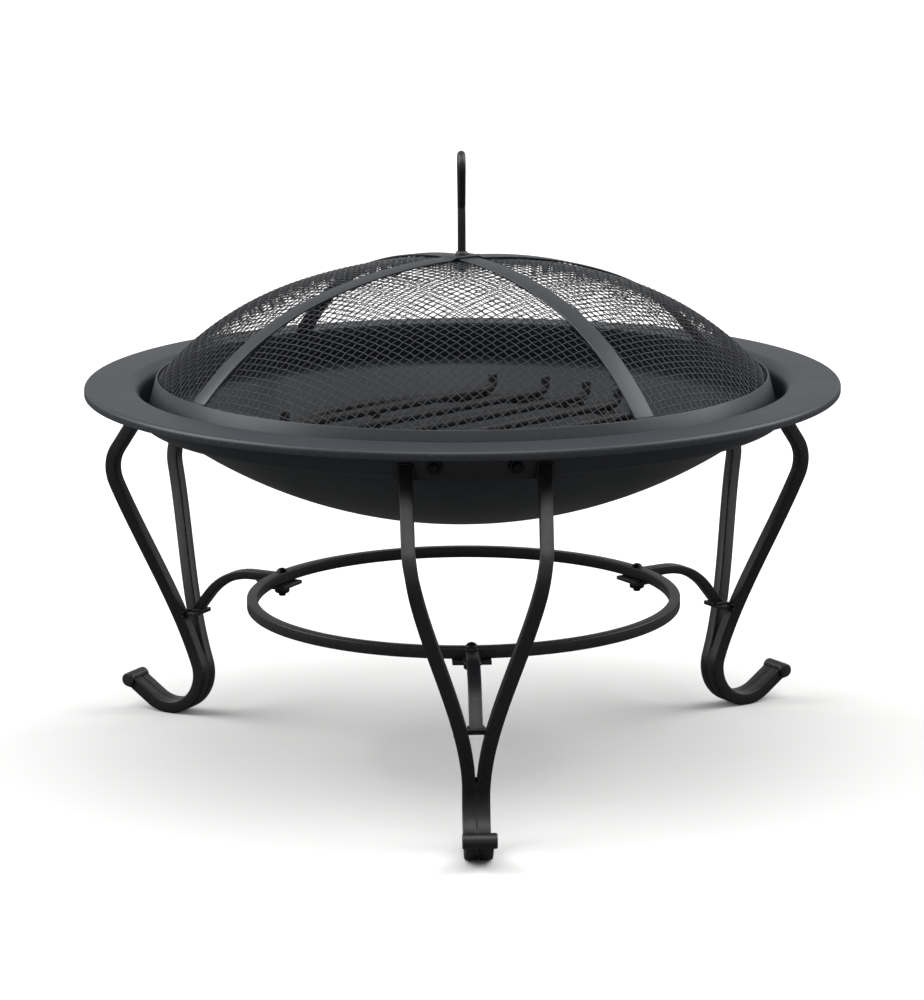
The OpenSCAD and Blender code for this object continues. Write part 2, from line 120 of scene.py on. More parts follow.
class FirePitSizes(bpy.types.PropertyGroup):
    sheet_t: size_setting("Bowl sheet", "Thickness of the bowl's sheet", 1.2)
    rim_w: size_setting("Rim width", "From the rim's edge to the inside of the wall", 41)
    roll_r: size_setting("Rim corner", "Radius between the rim and the wall", 10)
    lip_r: size_setting("Lip", "Radius of the rim's turned-down lip", 3)
    lip_h: size_setting("Lip height", "Straight part of the lip", 3)
    wall_h: size_setting("Wall height", "From the rim's top to the ledge", 26)
    ledge_w: size_setting("Ledge width", "Ledge that the screen stands on", 16)
    bar_w: size_setting("Leg bar", "Side of the square bar of the legs", 9.5)
    bar_edge: size_setting("Bar edge", "Radius of the bar's edges", 1.1)
    leg_spread: size_setting("Leg spread", "Between a leg's two bars at the top", 95)
    leg_bulge: size_setting("Leg bulge", "How far the legs stand out past the wall", 44)
    bulge_h: size_setting("Bulge height", "Height of the middle of the bend under the rim", 200)
    top_bend: size_setting("Top bend", "Radius of the bend under the rim", 32)
    leg_lean: size_setting("Leg lean", "From the bulge in to the foot's inner side", 51)
    foot_bend: size_setting("Foot bend", "Radius of the bend at the foot", 29)
    toe_len: size_setting("Toe", "Length of the straight toe", 23)
    arm_t: size_setting("Arm", "Thickness of the arms that carry the ring", 7)
    arm_bend: size_setting("Arm bend", "Radius of the bend in an arm", 50)
    arm_level: size_setting("Arm's level part", "How far an arm runs level outside the ring", 22)
    strap_w: size_setting("Strap width", "Width of the screen's straps", 16)
    strap_t: size_setting("Strap", "Thickness of the screen's straps", 1.6)
    wire_pitch: size_setting("Mesh pitch", "Between neighbouring wires of the mesh", 6)
    wire_d: size_setting("Mesh wire", "Diameter of the mesh's wire", 0.75)
    rod_d: size_setting("Handle rod", "Diameter of the handle's rod", 6)
    eye_r: size_setting("Handle eye", "Radius of the handle's eye", 9)
    bar_step: size_setting("Grate step", "Between neighbouring grate bars", 38)
    weld_r: size_setting("Weld bead", "Radius of the weld beads on the stand", 1.5)
    bolt_d: size_setting("Bolt", "Diameter of the bolts", 6)
    nut_af: size_setting("Nut", "Width of the nuts across their flats", 10)


class FirePitColours(bpy.types.PropertyGroup):
    enamel: colour_setting("Bowl enamel", "High-temperature enamel of the bowl", "#272c32")
    frame_coat: colour_setting("Screen enamel", "Enamel of the band and straps", "#292d32")
    powder: colour_setting("Powder coat", "Powder coat of legs and ring", "#1b1c1e")
    oxide: colour_setting("Black oxide", "Finish of bolts and nuts", "#1d1e20")
    stove_black: colour_setting("Stove black", "Heat-proof black of the grate", "#111112")
    wire: colour_setting("Mesh wire", "Painted wire of the screen", "#303236")
    zinc: colour_setting("Zinc", "Plated washer and nut under the dome", "#a3a7a9")
    floor: colour_setting("Floor", "Studio floor", "#f6f6f5")


# ---- nodes and materials ----


def add(tree, kind, *values, output=0, named=None, **settings):
    """Adds a node, makes its settings, sets or links its inputs, and returns one output."""
    node = tree.nodes.new(kind)
    for key, value in settings.items():
        setattr(node, key, value)
    for key, value in [*enumerate(values), *(named or {}).items()]:
        if isinstance(value, bpy.types.NodeSocket):
            tree.links.new(value, node.inputs[key])
        elif value is not None:
            node.inputs[key].default_value = value
    return node.outputs[output] if node.outputs else node


def coated_steel(
    name,
    colour,
    roughness,
    spread,
    grain_mm,
    grain_depth_mm,
    cloud=0.25,
    metallic=0.0,
    coat=0.0,
    coat_roughness=0.3,
    bare="#6d6f70",
    wear_amount=0.5,
):
    """A painted or plated steel surface: fine grain, soft clouds of shade, and rubbed edges."""
    material = bpy.data.materials.new(name)
    material.use_nodes = True
    material.diffuse_color = tuple(colour)
    tree = material.node_tree
    put = partial(add, tree)
    shader = tree.nodes["Principled BSDF"]
    shader.inputs["Metallic"].default_value = metallic
    shader.inputs["Coat Weight"].default_value = coat
    shader.inputs["Coat Roughness"].default_value = coat_roughness
    place = put("ShaderNodeTexCoord", output="Object")

    # the spray or plating leaves a fine grain, one lump every grain_mm
    grain = put(
        "ShaderNodeTexNoise", place, named={"Scale": 1 / (grain_mm * MM), "Detail": 2.0}
    )
    # and broad clouds of slightly thicker and thinner coat, some 60 mm across
    clouds = put(
        "ShaderNodeTexNoise", place, named={"Scale": 16.0, "Detail": 4.0, "Roughness": 0.6}
    )
    light = tuple(min(1.0, c * (1 + cloud)) for c in colour[:3]) + (1.0,)
    dark = tuple(c * (1 - cloud) for c in colour[:3]) + (1.0,)
    shade = put(
        "ShaderNodeMix", named={0: clouds, 6: dark, 7: light}, output=2, data_type="RGBA"
    )

    # the coat is rubbed thin on edges, in broken patches a few millimetres long
    edge = put("ShaderNodeAttribute", output="Fac", attribute_name="wear")
    patches = put("ShaderNodeTexNoise", place, named={"Scale": 260.0, "Detail": 3.0})
    broken = put("ShaderNodeMapRange", patches, 0.42, 0.7, 0.0, wear_amount)
    rubbed = put("ShaderNodeMath", edge, broken, operation="MULTIPLY")
    colour_out = put(
        "ShaderNodeMix", named={0: rubbed, 6: shade, 7: linear(bare)}, output=2, data_type="RGBA"
    )
    tree.links.new(colour_out, shader.inputs["Base Color"])

    mixed = put("ShaderNodeMath", clouds, 0.6, operation="MULTIPLY")
    mixed = put("ShaderNodeMath", grain, 0.4, mixed, operation="MULTIPLY_ADD")
    rough = put("ShaderNodeMapRange", mixed, 0.3, 0.7, roughness - spread, roughness + spread)
    tree.links.new(rough, shader.inputs["Roughness"])

    bump = put(
        "ShaderNodeBump",
        named={"Strength": 0.6, "Distance": grain_depth_mm * MM, "Height": grain},
    )
    tree.links.new(bump, shader.inputs["Normal"])
    return material


def make_materials(colours):
    """All the finishes, by the record's slot names."""
    return {
        # Sprayed high-temperature enamel on pressed sheet: satin, with a fine sprayed grain
        # that breaks highlights into a soft grey sheen.
        "bowl_enamel": coated_steel(
            "High-temperature enamel", colours.enamel, 0.42, 0.05, 0.9, 0.035, cloud=0.05,
            coat=0.15, coat_roughness=0.35, wear_amount=0.1,
        ),
        # Powder coat on square bar: satin black, slightly lumpy like fine orange peel.
        "leg_coat": coated_steel(
            "Powder-coated steel bar", colours.powder, 0.38, 0.05, 1.4, 0.05, cloud=0.07,
            wear_amount=0.15,
        ),
        "ring_coat": coated_steel(
            "Powder-coated steel ring", colours.powder, 0.38, 0.05, 1.4, 0.05, cloud=0.07,
            wear_amount=0.15,
        ),
        # Black oxide: a thin dark skin that leaves the metal's own dull shine.
        "bolt_finish": coated_steel(
            "Black oxide steel", colours.oxide, 0.38, 0.08, 0.5, 0.02, cloud=0.2,
            metallic=0.7, bare="#7b7c7d",
        ),
        # Stove black on round wire: nearly matt, with a dusty, uneven tone.
        "grate_steel": coated_steel(
            "Heat-proof stove black", colours.stove_black, 0.6, 0.1, 1.1, 0.06, cloud=0.3,
            bare="#4a4643",
        ),
        # The screen's strip steel has the bowl's enamel, a little lighter.
        "screen_coat": coated_steel(
            "High-temperature enamel on strip", colours.frame_coat, 0.4, 0.07, 0.9, 0.035,
            cloud=0.05, coat=0.15, coat_roughness=0.35, wear_amount=0.12,
        ),
        # Woven wire dipped in black paint: its thin round wires catch light as fine bright lines.
        "screen_wire": coated_steel(
            "Painted woven wire", colours.wire, 0.34, 0.08, 1.6, 0.03, cloud=0.2,
        ),
        "handle_coat": coated_steel(
            "Enamelled steel rod", colours.powder, 0.36, 0.08, 1.2, 0.04, cloud=0.15,
        ),
        # Zinc plate: pale bluish metal with a dull spangle.
        "plain_zinc": coated_steel(
            "Zinc-plated steel", colours.zinc, 0.34, 0.1, 0.8, 0.02, cloud=0.12,
            metallic=1.0, bare="#c9cccd",
        ),
    }


materials = {}


# ---- shared shapes ----


def arc(centre, radius, start, end, steps):
    """Points along an arc in a plane, from angle start to angle end in degrees."""
    angles = [math.radians(start + (end - start) * i / steps) for i in range(steps + 1)]
    return [(centre[0] + radius * math.cos(a), centre[1] + radius * math.sin(a)) for a in angles]


def bar_section(width, height, radius, inset=0.0, steps=3):
    """Points round a rectangle with rounded corners, each with how much its edge is rubbed."""
    points = []
    width = width - 2 * inset
    height = height - 2 * inset
    radius = max(radius - inset, 0.1 * MM)
    for side, top, start in ((1, 1, 0), (-1, 1, 90), (-1, -1, 180), (1, -1, 270)):
        centre = (side * (width / 2 - radius), top * (height / 2 - radius))
        for i, point in enumerate(arc(centre, radius, start, start + 90, steps)):
            points.append((*point, math.sin(math.pi * (i + 0.5) / (steps + 1))))
    return points


def round_section(radius, inset=0.0, steps=16):
    """Points round a circle, with no edge to rub."""
    points = arc((0, 0), radius - inset, 0, 360, steps)
    return [(*point, 0.0) for point in points[:-1]]


def sweep(shape, section, stations, end_round=0.0, closed=False):
    """Adds a bar to a bmesh: section(inset) is carried along stations of (place, across, up)."""
    wear = shape.verts.layers.float.get("wear") or shape.verts.layers.float.new("wear")
    rows = [(place, across, up, 0.0) for place, across, up in stations]
    if not closed:
        steps = 4
        first, second = stations[0], stations[1]
        last, before = stations[-1], stations[-2]
        inward = (second[0] - first[0]).normalized()
        backward = (before[0] - last[0]).normalized()
        clear = 1.2 * end_round
        rows = [
            row
            for row in rows[1:-1]
            if (row[0] - first[0]).length > clear and (row[0] - last[0]).length > clear
        ]
        for i in range(steps, -1, -1):
            turn = math.pi / 2 * i / steps
            step = end_round * (1 - math.cos(turn))
            inset = end_round * (1 - math.sin(turn))
            rows.insert(0, (first[0] + inward * step, first[1], first[2], inset))
            rows.append((last[0] + backward * step, last[1], last[2], inset))
    rings = []
    for place, across, up, inset in rows:
        ring = []
        for a, b, rubbed in section(inset=inset):
            vertex = shape.verts.new(place + across * a + up * b)
            vertex[wear] = max(rubbed, 1.0 if inset else 0.0)
            ring.append(vertex)
        rings.append(ring)
    pairs = list(zip(rings, rings[1:]))
    if closed:
        pairs.append((rings[-1], rings[0]))
    for ring, following in pairs:
        for i in range(len(ring)):
            j = (i + 1) % len(ring)
            shape.faces.new((ring[i], ring[j], following[j], following[i]))
    if not closed:
        shape.faces.new(rings[0])
        shape.faces.new(rings[-1])


def lathe(shape, profile, segments, worn=()):
    """Adds a turned solid to a bmesh: profile is a closed loop of (radius, height) points."""
    wear = shape.verts.layers.float.get("wear") or shape.verts.layers.float.new("wear")
    rings = []
    for i in range(segments):
        turn = 2 * math.pi * i / segments
        ring = []
        for j, (radius, height) in enumerate(profile):
            vertex = shape.verts.new((radius * math.cos(turn), radius * math.sin(turn), height))
            vertex[wear] = 1.0 if j in worn else 0.0
            ring.append(vertex)
        rings.append(ring)
    count = len(profile)
    for ring, following in zip(rings, rings[1:] + rings[:1]):
        for j in range(count):
            k = (j + 1) % count
            if profile[j][0] > 1e-7 or profile[k][0] > 1e-7:
                shape.faces.new((ring[j], following[j], following[k], ring[k]))


def finish(name, shape, slot, body, *nodes, sharp=38.0):
    """Turns a bmesh into a finished piece that rides on a body and stands for CAD nodes."""
    bmesh.ops.remove_doubles(shape, verts=shape.verts[:], dist=1e-6)
    bmesh.ops.recalc_face_normals(shape, faces=shape.faces[:])
    limit = math.radians(sharp)
    for face in shape.faces:
        face.smooth = True
    for edge in shape.edges:
        edge.smooth = edge.calc_face_angle(0.0) < limit
    mesh = bpy.data.meshes.new(name)
    shape.to_mesh(mesh)
    shape.free()
    mesh.materials.append(materials[slot])
    piece = bpy.data.objects.new(name, mesh)
    bpy.context.scene.collection.objects.link(piece)
    return join_frame(piece, slot, body, *nodes)


def join_frame(piece, slot, body, *nodes):
    """Makes a finished object ride on its body, in the place of its CAD nodes."""
    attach(piece, body)
    if nodes:
        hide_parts(*nodes)
    return piece


def outward(turn):
    """The level direction at a turn about the axis, in degrees."""
    return Vector((math.cos(math.radians(turn)), math.sin(math.radians(turn)), 0))


def leg_axes(side):
    """Directions of a leg's own frame: outwards, sideways and up."""
    out = outward(LEG_TURNS[side])
    return out, UP.cross(out), UP


def in_leg(side, out, across, up):
    """A point given in a leg's own frame."""
    axes = leg_axes(side)
    return axes[0] * out + axes[1] * across + axes[2] * up


# ---- bowl ----


def sheet_loop(path, thickness):
    """A closed loop round a path of (radius, height): both faces, with a rounded free edge."""
    normals = []
    for i in range(len(path)):
        before = Vector(path[max(i, 1)]) - Vector(path[max(i, 1) - 1])
        after_index = min(i, len(path) - 2)
        after = Vector(path[after_index + 1]) - Vector(path[after_index])
        along = (before.normalized() + after.normalized()).normalized()
        normals.append(Vector((-along.y, along.x)))
    half = thickness / 2
    left = [Vector(p) + n * half for p, n in zip(path, normals)]
    right = [Vector(p) - n * half for p, n in zip(path, normals)]
    start = Vector(path[0])
    back = -(Vector(path[1]) - start).normalized()
    cap = []
    for i in range(1, 6):
        turn = math.pi * i / 6
        cap.append(start + normals[0] * -half * math.cos(turn) + back * half * math.sin(turn))
    left[-1].x = 0.0
    right[-1].x = 0.0
    return [tuple(p) for p in [*reversed(right), *cap, *left]]


def bowl_path(sizes):
    """Middle line of the bowl's sheet, from the lip's edge to the middle of the dish."""
    half = sizes.sheet_t / 2
    wall_r = RIM_R - sizes.rim_w
    ledge = RIM_TOP - sizes.wall_h
    corner = 4 * MM
    fold = 5 * MM
    dish_edge = wall_r - sizes.ledge_w
    dish_low = BOWL_BOTTOM + sizes.sheet_t
    depth = ledge - dish_low
    dish_r = (dish_edge**2 + depth**2) / (2 * depth) + half
    dish_centre = dish_low + dish_r - half
    path = [(RIM_R - half, RIM_TOP - sizes.lip_r - sizes.lip_h)]
    path += arc((RIM_R - sizes.lip_r, RIM_TOP - sizes.lip_r), sizes.lip_r - half, 0, 90, 9)
    path += arc((wall_r + sizes.roll_r, RIM_TOP - sizes.roll_r), sizes.roll_r - half, 90, 180, 16)
    path += arc((wall_r - corner, ledge + corner), corner + half, 0, -90, 9)
    # the ledge turns down into the dish over a short pressed fold
    fold_turn = math.degrees(math.asin((dish_edge - fold) / dish_r))
    fold_end = Vector(
        (
            dish_r * math.sin(math.radians(fold_turn)),
            dish_centre - dish_r * math.cos(math.radians(fold_turn)),
        )
    )
    fold_start = Vector((dish_edge + fold, ledge - half))
    fold_corner = Vector((dish_edge, ledge - half))
    for i in range(9):
        t = i / 8
        point = (1 - t) ** 2 * fold_start + 2 * t * (1 - t) * fold_corner + t * t * fold_end
        path.append(tuple(point))
    path += arc((0, dish_centre), dish_r, fold_turn - 90, -90, 42)[1:]
    return path


def make_bowl(sizes):
    """The pressed bowl: rim, lip, wall, ledge and dish in one sheet."""
    shape = bmesh.new()
    loop = sheet_loop(bowl_path(sizes), sizes.sheet_t)
    lip = [i for i, (radius, _) in enumerate(loop) if radius > RIM_R - 0.4 * MM]
    lathe(shape, loop, 240, worn=set(lip))
    finish("bowl_shell", shape, "bowl_enamel", "stand", "fire_bowl")


# ---- legs ----


def leg_offset(sizes, height):
    """Distance of a bar from the middle of its leg, and the slope of that line."""
    low = 38 * MM
    high = RIM_TOP - sizes.wall_h - sizes.sheet_t - 27 * MM
    near = sizes.bar_w / 2 + 0.25 * MM
    far = sizes.leg_spread / 2
    share = min(1.0, max(0.0, (height - low) / (high - low)))
    offset = near + (far - near) * share * share * (3 - 2 * share)
    slope = (far - near) * 6 * share * (1 - share) / (high - low)
    return offset, slope


def leg_side_path(sizes):
    """Side view of a leg bar, as (out, up) points from the plate to the roller."""
    wall_r = RIM_R - sizes.rim_w
    bulge = wall_r + sizes.leg_bulge
    top = Vector((bulge - sizes.top_bend, sizes.bulge_h))
    foot = Vector(
        (bulge - sizes.leg_lean + sizes.foot_bend, sizes.foot_bend + sizes.bar_w / 2)
    )
    # turn of the straight between the outside of the top bend and the inside of the foot bend
    run = foot - top
    cross = math.acos((sizes.top_bend + sizes.foot_bend) / run.length)
    lean = math.degrees(cross + math.atan2(run.y, run.x))
    # the bar leaves the plate on a slant that runs straight into the top bend
    begin = Vector((wall_r + sizes.sheet_t, PLATE_LOW.z + 8 * MM))
    reach = begin - top
    first = math.degrees(math.atan2(reach.y, reach.x) - math.acos(sizes.top_bend / reach.length))
    path = [tuple(begin)]
    path += arc(top, sizes.top_bend, first, lean, 22)
    foot_arc = arc(foot, sizes.foot_bend, 180 + lean, 270 + TOE_TURN, 34)
    start = Vector(path[-1])
    end = Vector(foot_arc[0])
    path += [tuple(start.lerp(end, i / 28)) for i in range(1, 28)]
    path += foot_arc
    along = Vector((math.cos(math.radians(TOE_TURN)), math.sin(math.radians(TOE_TURN))))
    tip = Vector(foot_arc[-1]) + along * (sizes.toe_len - 2.6 * MM)
    path.append(tuple(Vector(foot_arc[-1]).lerp(tip, 0.5)))
    path.append(tuple(tip))
    return path


def leg_bar_stations(sizes, side, hand):
    """Places and directions along one leg bar: hand is -1 or 1."""
    axes = leg_axes(side)
    path = leg_side_path(sizes)
    stations = []
    for i, (out, up) in enumerate(path):
        before = path[max(i - 1, 0)]
        after = path[min(i + 1, len(path) - 1)]
        step_out = after[0] - before[0]
        step_up = after[1] - before[1]
        offset, slope = leg_offset(sizes, up)
        place = axes[0] * out + axes[1] * hand * offset + axes[2] * up
        along = axes[0] * step_out + axes[1] * hand * slope * step_up + axes[2] * step_up
        normal = (axes[0] * -step_up + axes[2] * step_out).normalized()
        across = normal.cross(along.normalized()).normalized()
        stations.append((place, across, normal))
    return stations


def make_legs(sizes):
    """The six bent bars, and the plates that hold them to the bowl's wall."""
    section = partial(bar_section, sizes.bar_w, sizes.bar_w, sizes.bar_edge)
    plate_t = 4 * MM
    plate_mid = -PLATE_LOW.y - plate_t / 2
    plate_turn = math.degrees(math.asin(PLATE_HIGH.x / -PLATE_LOW.y))
    plate_h = PLATE_HIGH.z - PLATE_LOW.z
    plate_section = partial(bar_section, plate_t, plate_h, 0.8 * MM)
    for side in LEG_TURNS:
        for hand, letter in ((-1, "a"), (1, "b")):
            shape = bmesh.new()
            sweep(shape, section, leg_bar_stations(sizes, side, hand), 0.5 * MM)
            node = f"{side}_leg_bar_{letter}"
            finish(f"{node}_bent", shape, "leg_coat", "stand", node)
        shape = bmesh.new()
        stations = []
        for i in range(25):
            out = outward(LEG_TURNS[side] + plate_turn * (i / 12 - 1))
            place = out * plate_mid + UP * (PLATE_LOW.z + plate_h / 2)
            stations.append((place, out, UP))
        sweep(shape, plate_section, stations, 1.0 * MM)
        finish(f"{side}_leg_plate_curved", shape, "leg_coat", "stand", f"{side}_leg_plate")


def make_feet(sizes):
    """The rollers across the toes."""
    middle = -(ROLLER_LOW.y + ROLLER_HIGH.y) / 2
    height = (ROLLER_LOW.z + ROLLER_HIGH.z) / 2
    half = ROLLER_HIGH.x
    radius = (ROLLER_HIGH.z - ROLLER_LOW.z) / 2
    for side in LEG_TURNS:
        axes = leg_axes(side)
        stations = [
            (in_leg(side, middle, half * (i / 4 - 1), height), axes[0], UP) for i in range(9)
        ]
        shape = bmesh.new()
        sweep(shape, partial(round_section, radius, steps=32), stations, 1.2 * MM)
        finish(f"{side}_foot_roller_turned", shape, "leg_coat", "stand", f"{side}_foot_roller")


# ---- lower ring and what carries it ----


def arm_path(sizes):
    """Side view of an arm, as (out, up) points from its tab to the ring."""
    arm_z = RING_LOW.z + sizes.arm_t / 2
    foot = Vector((-TAB_LOW.y - sizes.bar_w / 2, TAB_HIGH.z))
    # level past the pad, then a bend, then straight to the foot
    centre = Vector((RING_HIGH.x + sizes.arm_level, arm_z - sizes.arm_bend))
    run = foot - centre
    start = math.degrees(math.atan2(run.y, run.x) + math.acos(sizes.arm_bend / run.length))
    bend = arc(centre, sizes.arm_bend, start, 90, 12)
    down = (foot - Vector(bend[0])).normalized()
    path = [tuple(foot + down * 2.5 * MM), tuple(foot.lerp(Vector(bend[0]), 0.5))]
    path += [*bend, (RING_HIGH.x - 1.0 * MM, arm_z)]
    return path


def make_ring_and_arms(sizes):
    """The lower ring, with the tab, arm and pad that carry it at each leg."""
    ring_h = RING_HIGH.z - RING_LOW.z
    shape = bmesh.new()
    stations = []
    for i in range(240):
        out = outward(360 * i / 240)
        place = out * (RING_HIGH.x - RING_W / 2) + UP * (RING_LOW.z + ring_h / 2)
        stations.append((place, out, UP))
    sweep(shape, partial(bar_section, RING_W, ring_h, 1.0 * MM), stations, closed=True)
    finish("lower_ring_rolled", shape, "ring_coat", "stand", "lower_ring")

    tab_out = -(TAB_LOW.y + TAB_HIGH.y) / 2
    tab_up = (TAB_LOW.z + TAB_HIGH.z) / 2
    tab_section = partial(
        bar_section, TAB_HIGH.y - TAB_LOW.y, TAB_HIGH.z - TAB_LOW.z, 0.6 * MM
    )
    pad_section = partial(
        bar_section, PAD_HIGH.x - PAD_LOW.x, PAD_HIGH.z - PAD_LOW.z, 0.6 * MM
    )
    pad_up = (PAD_LOW.z + PAD_HIGH.z) / 2
    arm_section = partial(bar_section, sizes.bar_w, sizes.arm_t, sizes.bar_edge)
    for side in LEG_TURNS:
        axes = leg_axes(side)
        shape = bmesh.new()
        half = TAB_HIGH.x
        stations = [
            (in_leg(side, tab_out, half * (i / 3 - 1), tab_up), axes[0], UP) for i in range(7)
        ]
        sweep(shape, tab_section, stations, 0.8 * MM)
        finish(f"{side}_leg_tab_plate", shape, "leg_coat", "stand", f"{side}_leg_tab")

        shape = bmesh.new()
        path = arm_path(sizes)
        stations = []
        for i, (out, up) in enumerate(path):
            before = path[max(i - 1, 0)]
            after = path[min(i + 1, len(path) - 1)]
            along = Vector((after[0] - before[0], after[1] - before[1])).normalized()
            normal = axes[0] * -along.y + UP * along.x
            stations.append((in_leg(side, out, 0, up), axes[1], normal))
        sweep(shape, arm_section, stations, 0.5 * MM)
        finish(f"{side}_ring_arm_bent", shape, "leg_coat", "stand", f"{side}_ring_arm")

        shape = bmesh.new()
        stations = []
        for i in range(9):
            out = -PAD_LOW.y + (PAD_LOW.y - PAD_HIGH.y) * i / 8
            stations.append((in_leg(side, out, 0, pad_up), axes[1], UP))
        sweep(shape, pad_section, stations, 0.8 * MM)
        finish(f"{side}_arm_pad_plate", shape, "leg_coat", "stand", f"{side}_arm_pad")


# ---- Geometry Nodes ----


def new_tree(name, inputs):
    """A Geometry Nodes tree with named inputs, and a table of its input sockets."""
    tree = bpy.data.node_groups.new(name, "GeometryNodeTree")
    tree.interface.new_socket("Geometry", in_out="INPUT", socket_type="NodeSocketGeometry")
    for label, kind in inputs.items():
        tree.interface.new_socket(label, in_out="INPUT", socket_type=f"NodeSocket{kind}")
    tree.interface.new_socket("Geometry", in_out="OUTPUT", socket_type="NodeSocketGeometry")
    start = tree.nodes.new("NodeGroupInput")
    return tree, start.outputs


def end_tree(tree, geometry, material, smooth=True):
    """Ends a tree in real geometry with its material."""
    put = partial(add, tree)
    shaded = put("GeometryNodeSetShadeSmooth", geometry, True, smooth)
    real = put("GeometryNodeRealizeInstances", shaded)
    painted = put("GeometryNodeSetMaterial", real, True, material)
    put("NodeGroupOutput", painted)


def run_tree(name, mesh, tree, values, slot):
    """Runs a tree on a mesh and returns the result as an object with a plain mesh."""
    piece = bpy.data.objects.new(name, mesh)
    bpy.context.scene.collection.objects.link(piece)
    modifier = piece.modifiers.new(tree.name, "NODES")
    modifier.node_group = tree
    wanted = {**values, "Material": materials[slot]}
    for item in tree.interface.items_tree:
        if item.item_type == "SOCKET" and item.in_out == "INPUT" and item.name in wanted:
            modifier[item.identifier] = wanted[item.name]
    bpy.context.view_layer.update()
    graph = bpy.context.evaluated_depsgraph_get()
    result = bpy.data.meshes.new_from_object(piece.evaluated_get(graph))
    piece.modifiers.remove(modifier)
    result.name = name
    piece.data = result
    if not result.polygons:
        raise RuntimeError(f"{name} came out empty")
    return piece


def round_tree():
    """Sets copies of a mesh round the axis, in groups, turned to face outwards."""
    tree, given = new_tree(
        "Set round the axis",
        {
            "Count": "Int",
            "Per group": "Int",
            "Group step": "Float",
            "Spread": "Float",
            "Start": "Float",
            "Radius": "Float",
            "Height": "Float",
            "Material": "Material",
        },
    )
    put = partial(add, tree)
    index = put("GeometryNodeInputIndex")
    per = given["Per group"]
    group = put("ShaderNodeMath", index, per, operation="DIVIDE")
    group = put("ShaderNodeMath", group, operation="FLOOR")
    member = put("ShaderNodeMath", index, per, operation="MODULO")
    middle = put("ShaderNodeMath", per, 1.0, operation="SUBTRACT")
    middle = put("ShaderNodeMath", middle, 0.5, operation="MULTIPLY")
    member = put("ShaderNodeMath", member, middle, operation="SUBTRACT")
    turn = put(
        "ShaderNodeMath", group, given["Group step"], given["Start"], operation="MULTIPLY_ADD"
    )
    turn = put("ShaderNodeMath", member, given["Spread"], turn, operation="MULTIPLY_ADD")
    cosine = put("ShaderNodeMath", turn, operation="COSINE")
    sine = put("ShaderNodeMath", turn, operation="SINE")
    x = put("ShaderNodeMath", cosine, given["Radius"], operation="MULTIPLY")
    y = put("ShaderNodeMath", sine, given["Radius"], operation="MULTIPLY")
    place = put("ShaderNodeCombineXYZ", x, y, given["Height"])
    facing = put("ShaderNodeCombineXYZ", 0.0, 0.0, turn)
    line = put("GeometryNodeMeshLine", given["Count"])
    points = put("GeometryNodeSetPosition", line, True, place)
    copies = put(
        "GeometryNodeInstanceOnPoints",
        points,
        named={"Instance": given["Geometry"], "Rotation": facing},
    )
    end_tree(tree, copies, given["Material"], smooth=False)
    return tree


def bead_tree():
    """Lays a rippled weld bead along every edge path of a mesh."""
    tree, given = new_tree(
        "Weld bead", {"Size": "Float", "Ripple": "Float", "Material": "Material"}
    )
    put = partial(add, tree)
    curve = put("GeometryNodeMeshToCurve", given["Geometry"])
    step = put("ShaderNodeMath", given["Ripple"], 0.25, operation="MULTIPLY")
    curve = put("GeometryNodeResampleCurve", curve, named={"Length": step}, mode="LENGTH")
    run = put("GeometryNodeSplineParameter", output="Length")
    total = put("GeometryNodeSplineLength")
    left = put("ShaderNodeMath", total, run, operation="SUBTRACT")
    nearest = put("ShaderNodeMath", run, left, operation="MINIMUM")
    share = put("ShaderNodeMath", nearest, given["Size"], operation="DIVIDE")
    share = put("ShaderNodeMath", share, 0.25, operation="ADD")
    share = put("ShaderNodeMath", share, 1.0, operation="MINIMUM")
    ends = put("ShaderNodeMath", share, operation="SQRT")
    phase = put("ShaderNodeMath", run, given["Ripple"], operation="DIVIDE")
    phase = put("ShaderNodeMath", phase, 2 * math.pi, operation="MULTIPLY")
    wave = put("ShaderNodeMath", phase, operation="SINE")
    wave = put("ShaderNodeMath", wave, 0.14, 0.9, operation="MULTIPLY_ADD")
    lumps = put(
        "ShaderNodeTexNoise",
        put("GeometryNodeInputPosition"),
        named={"Scale": 420.0, "Detail": 1.0},
    )
    lumps = put("ShaderNodeMath", lumps, 0.3, -0.15, operation="MULTIPLY_ADD")
    wave = put("ShaderNodeMath", wave, lumps, operation="ADD")
    width = put("ShaderNodeMath", ends, wave, operation="MULTIPLY")
    ring = put("GeometryNodeCurvePrimitiveCircle", 10, named={"Radius": given["Size"]})
    bead = put("GeometryNodeCurveToMesh", curve, ring, width, True)
    end_tree(tree, bead, given["Material"])
    return tree


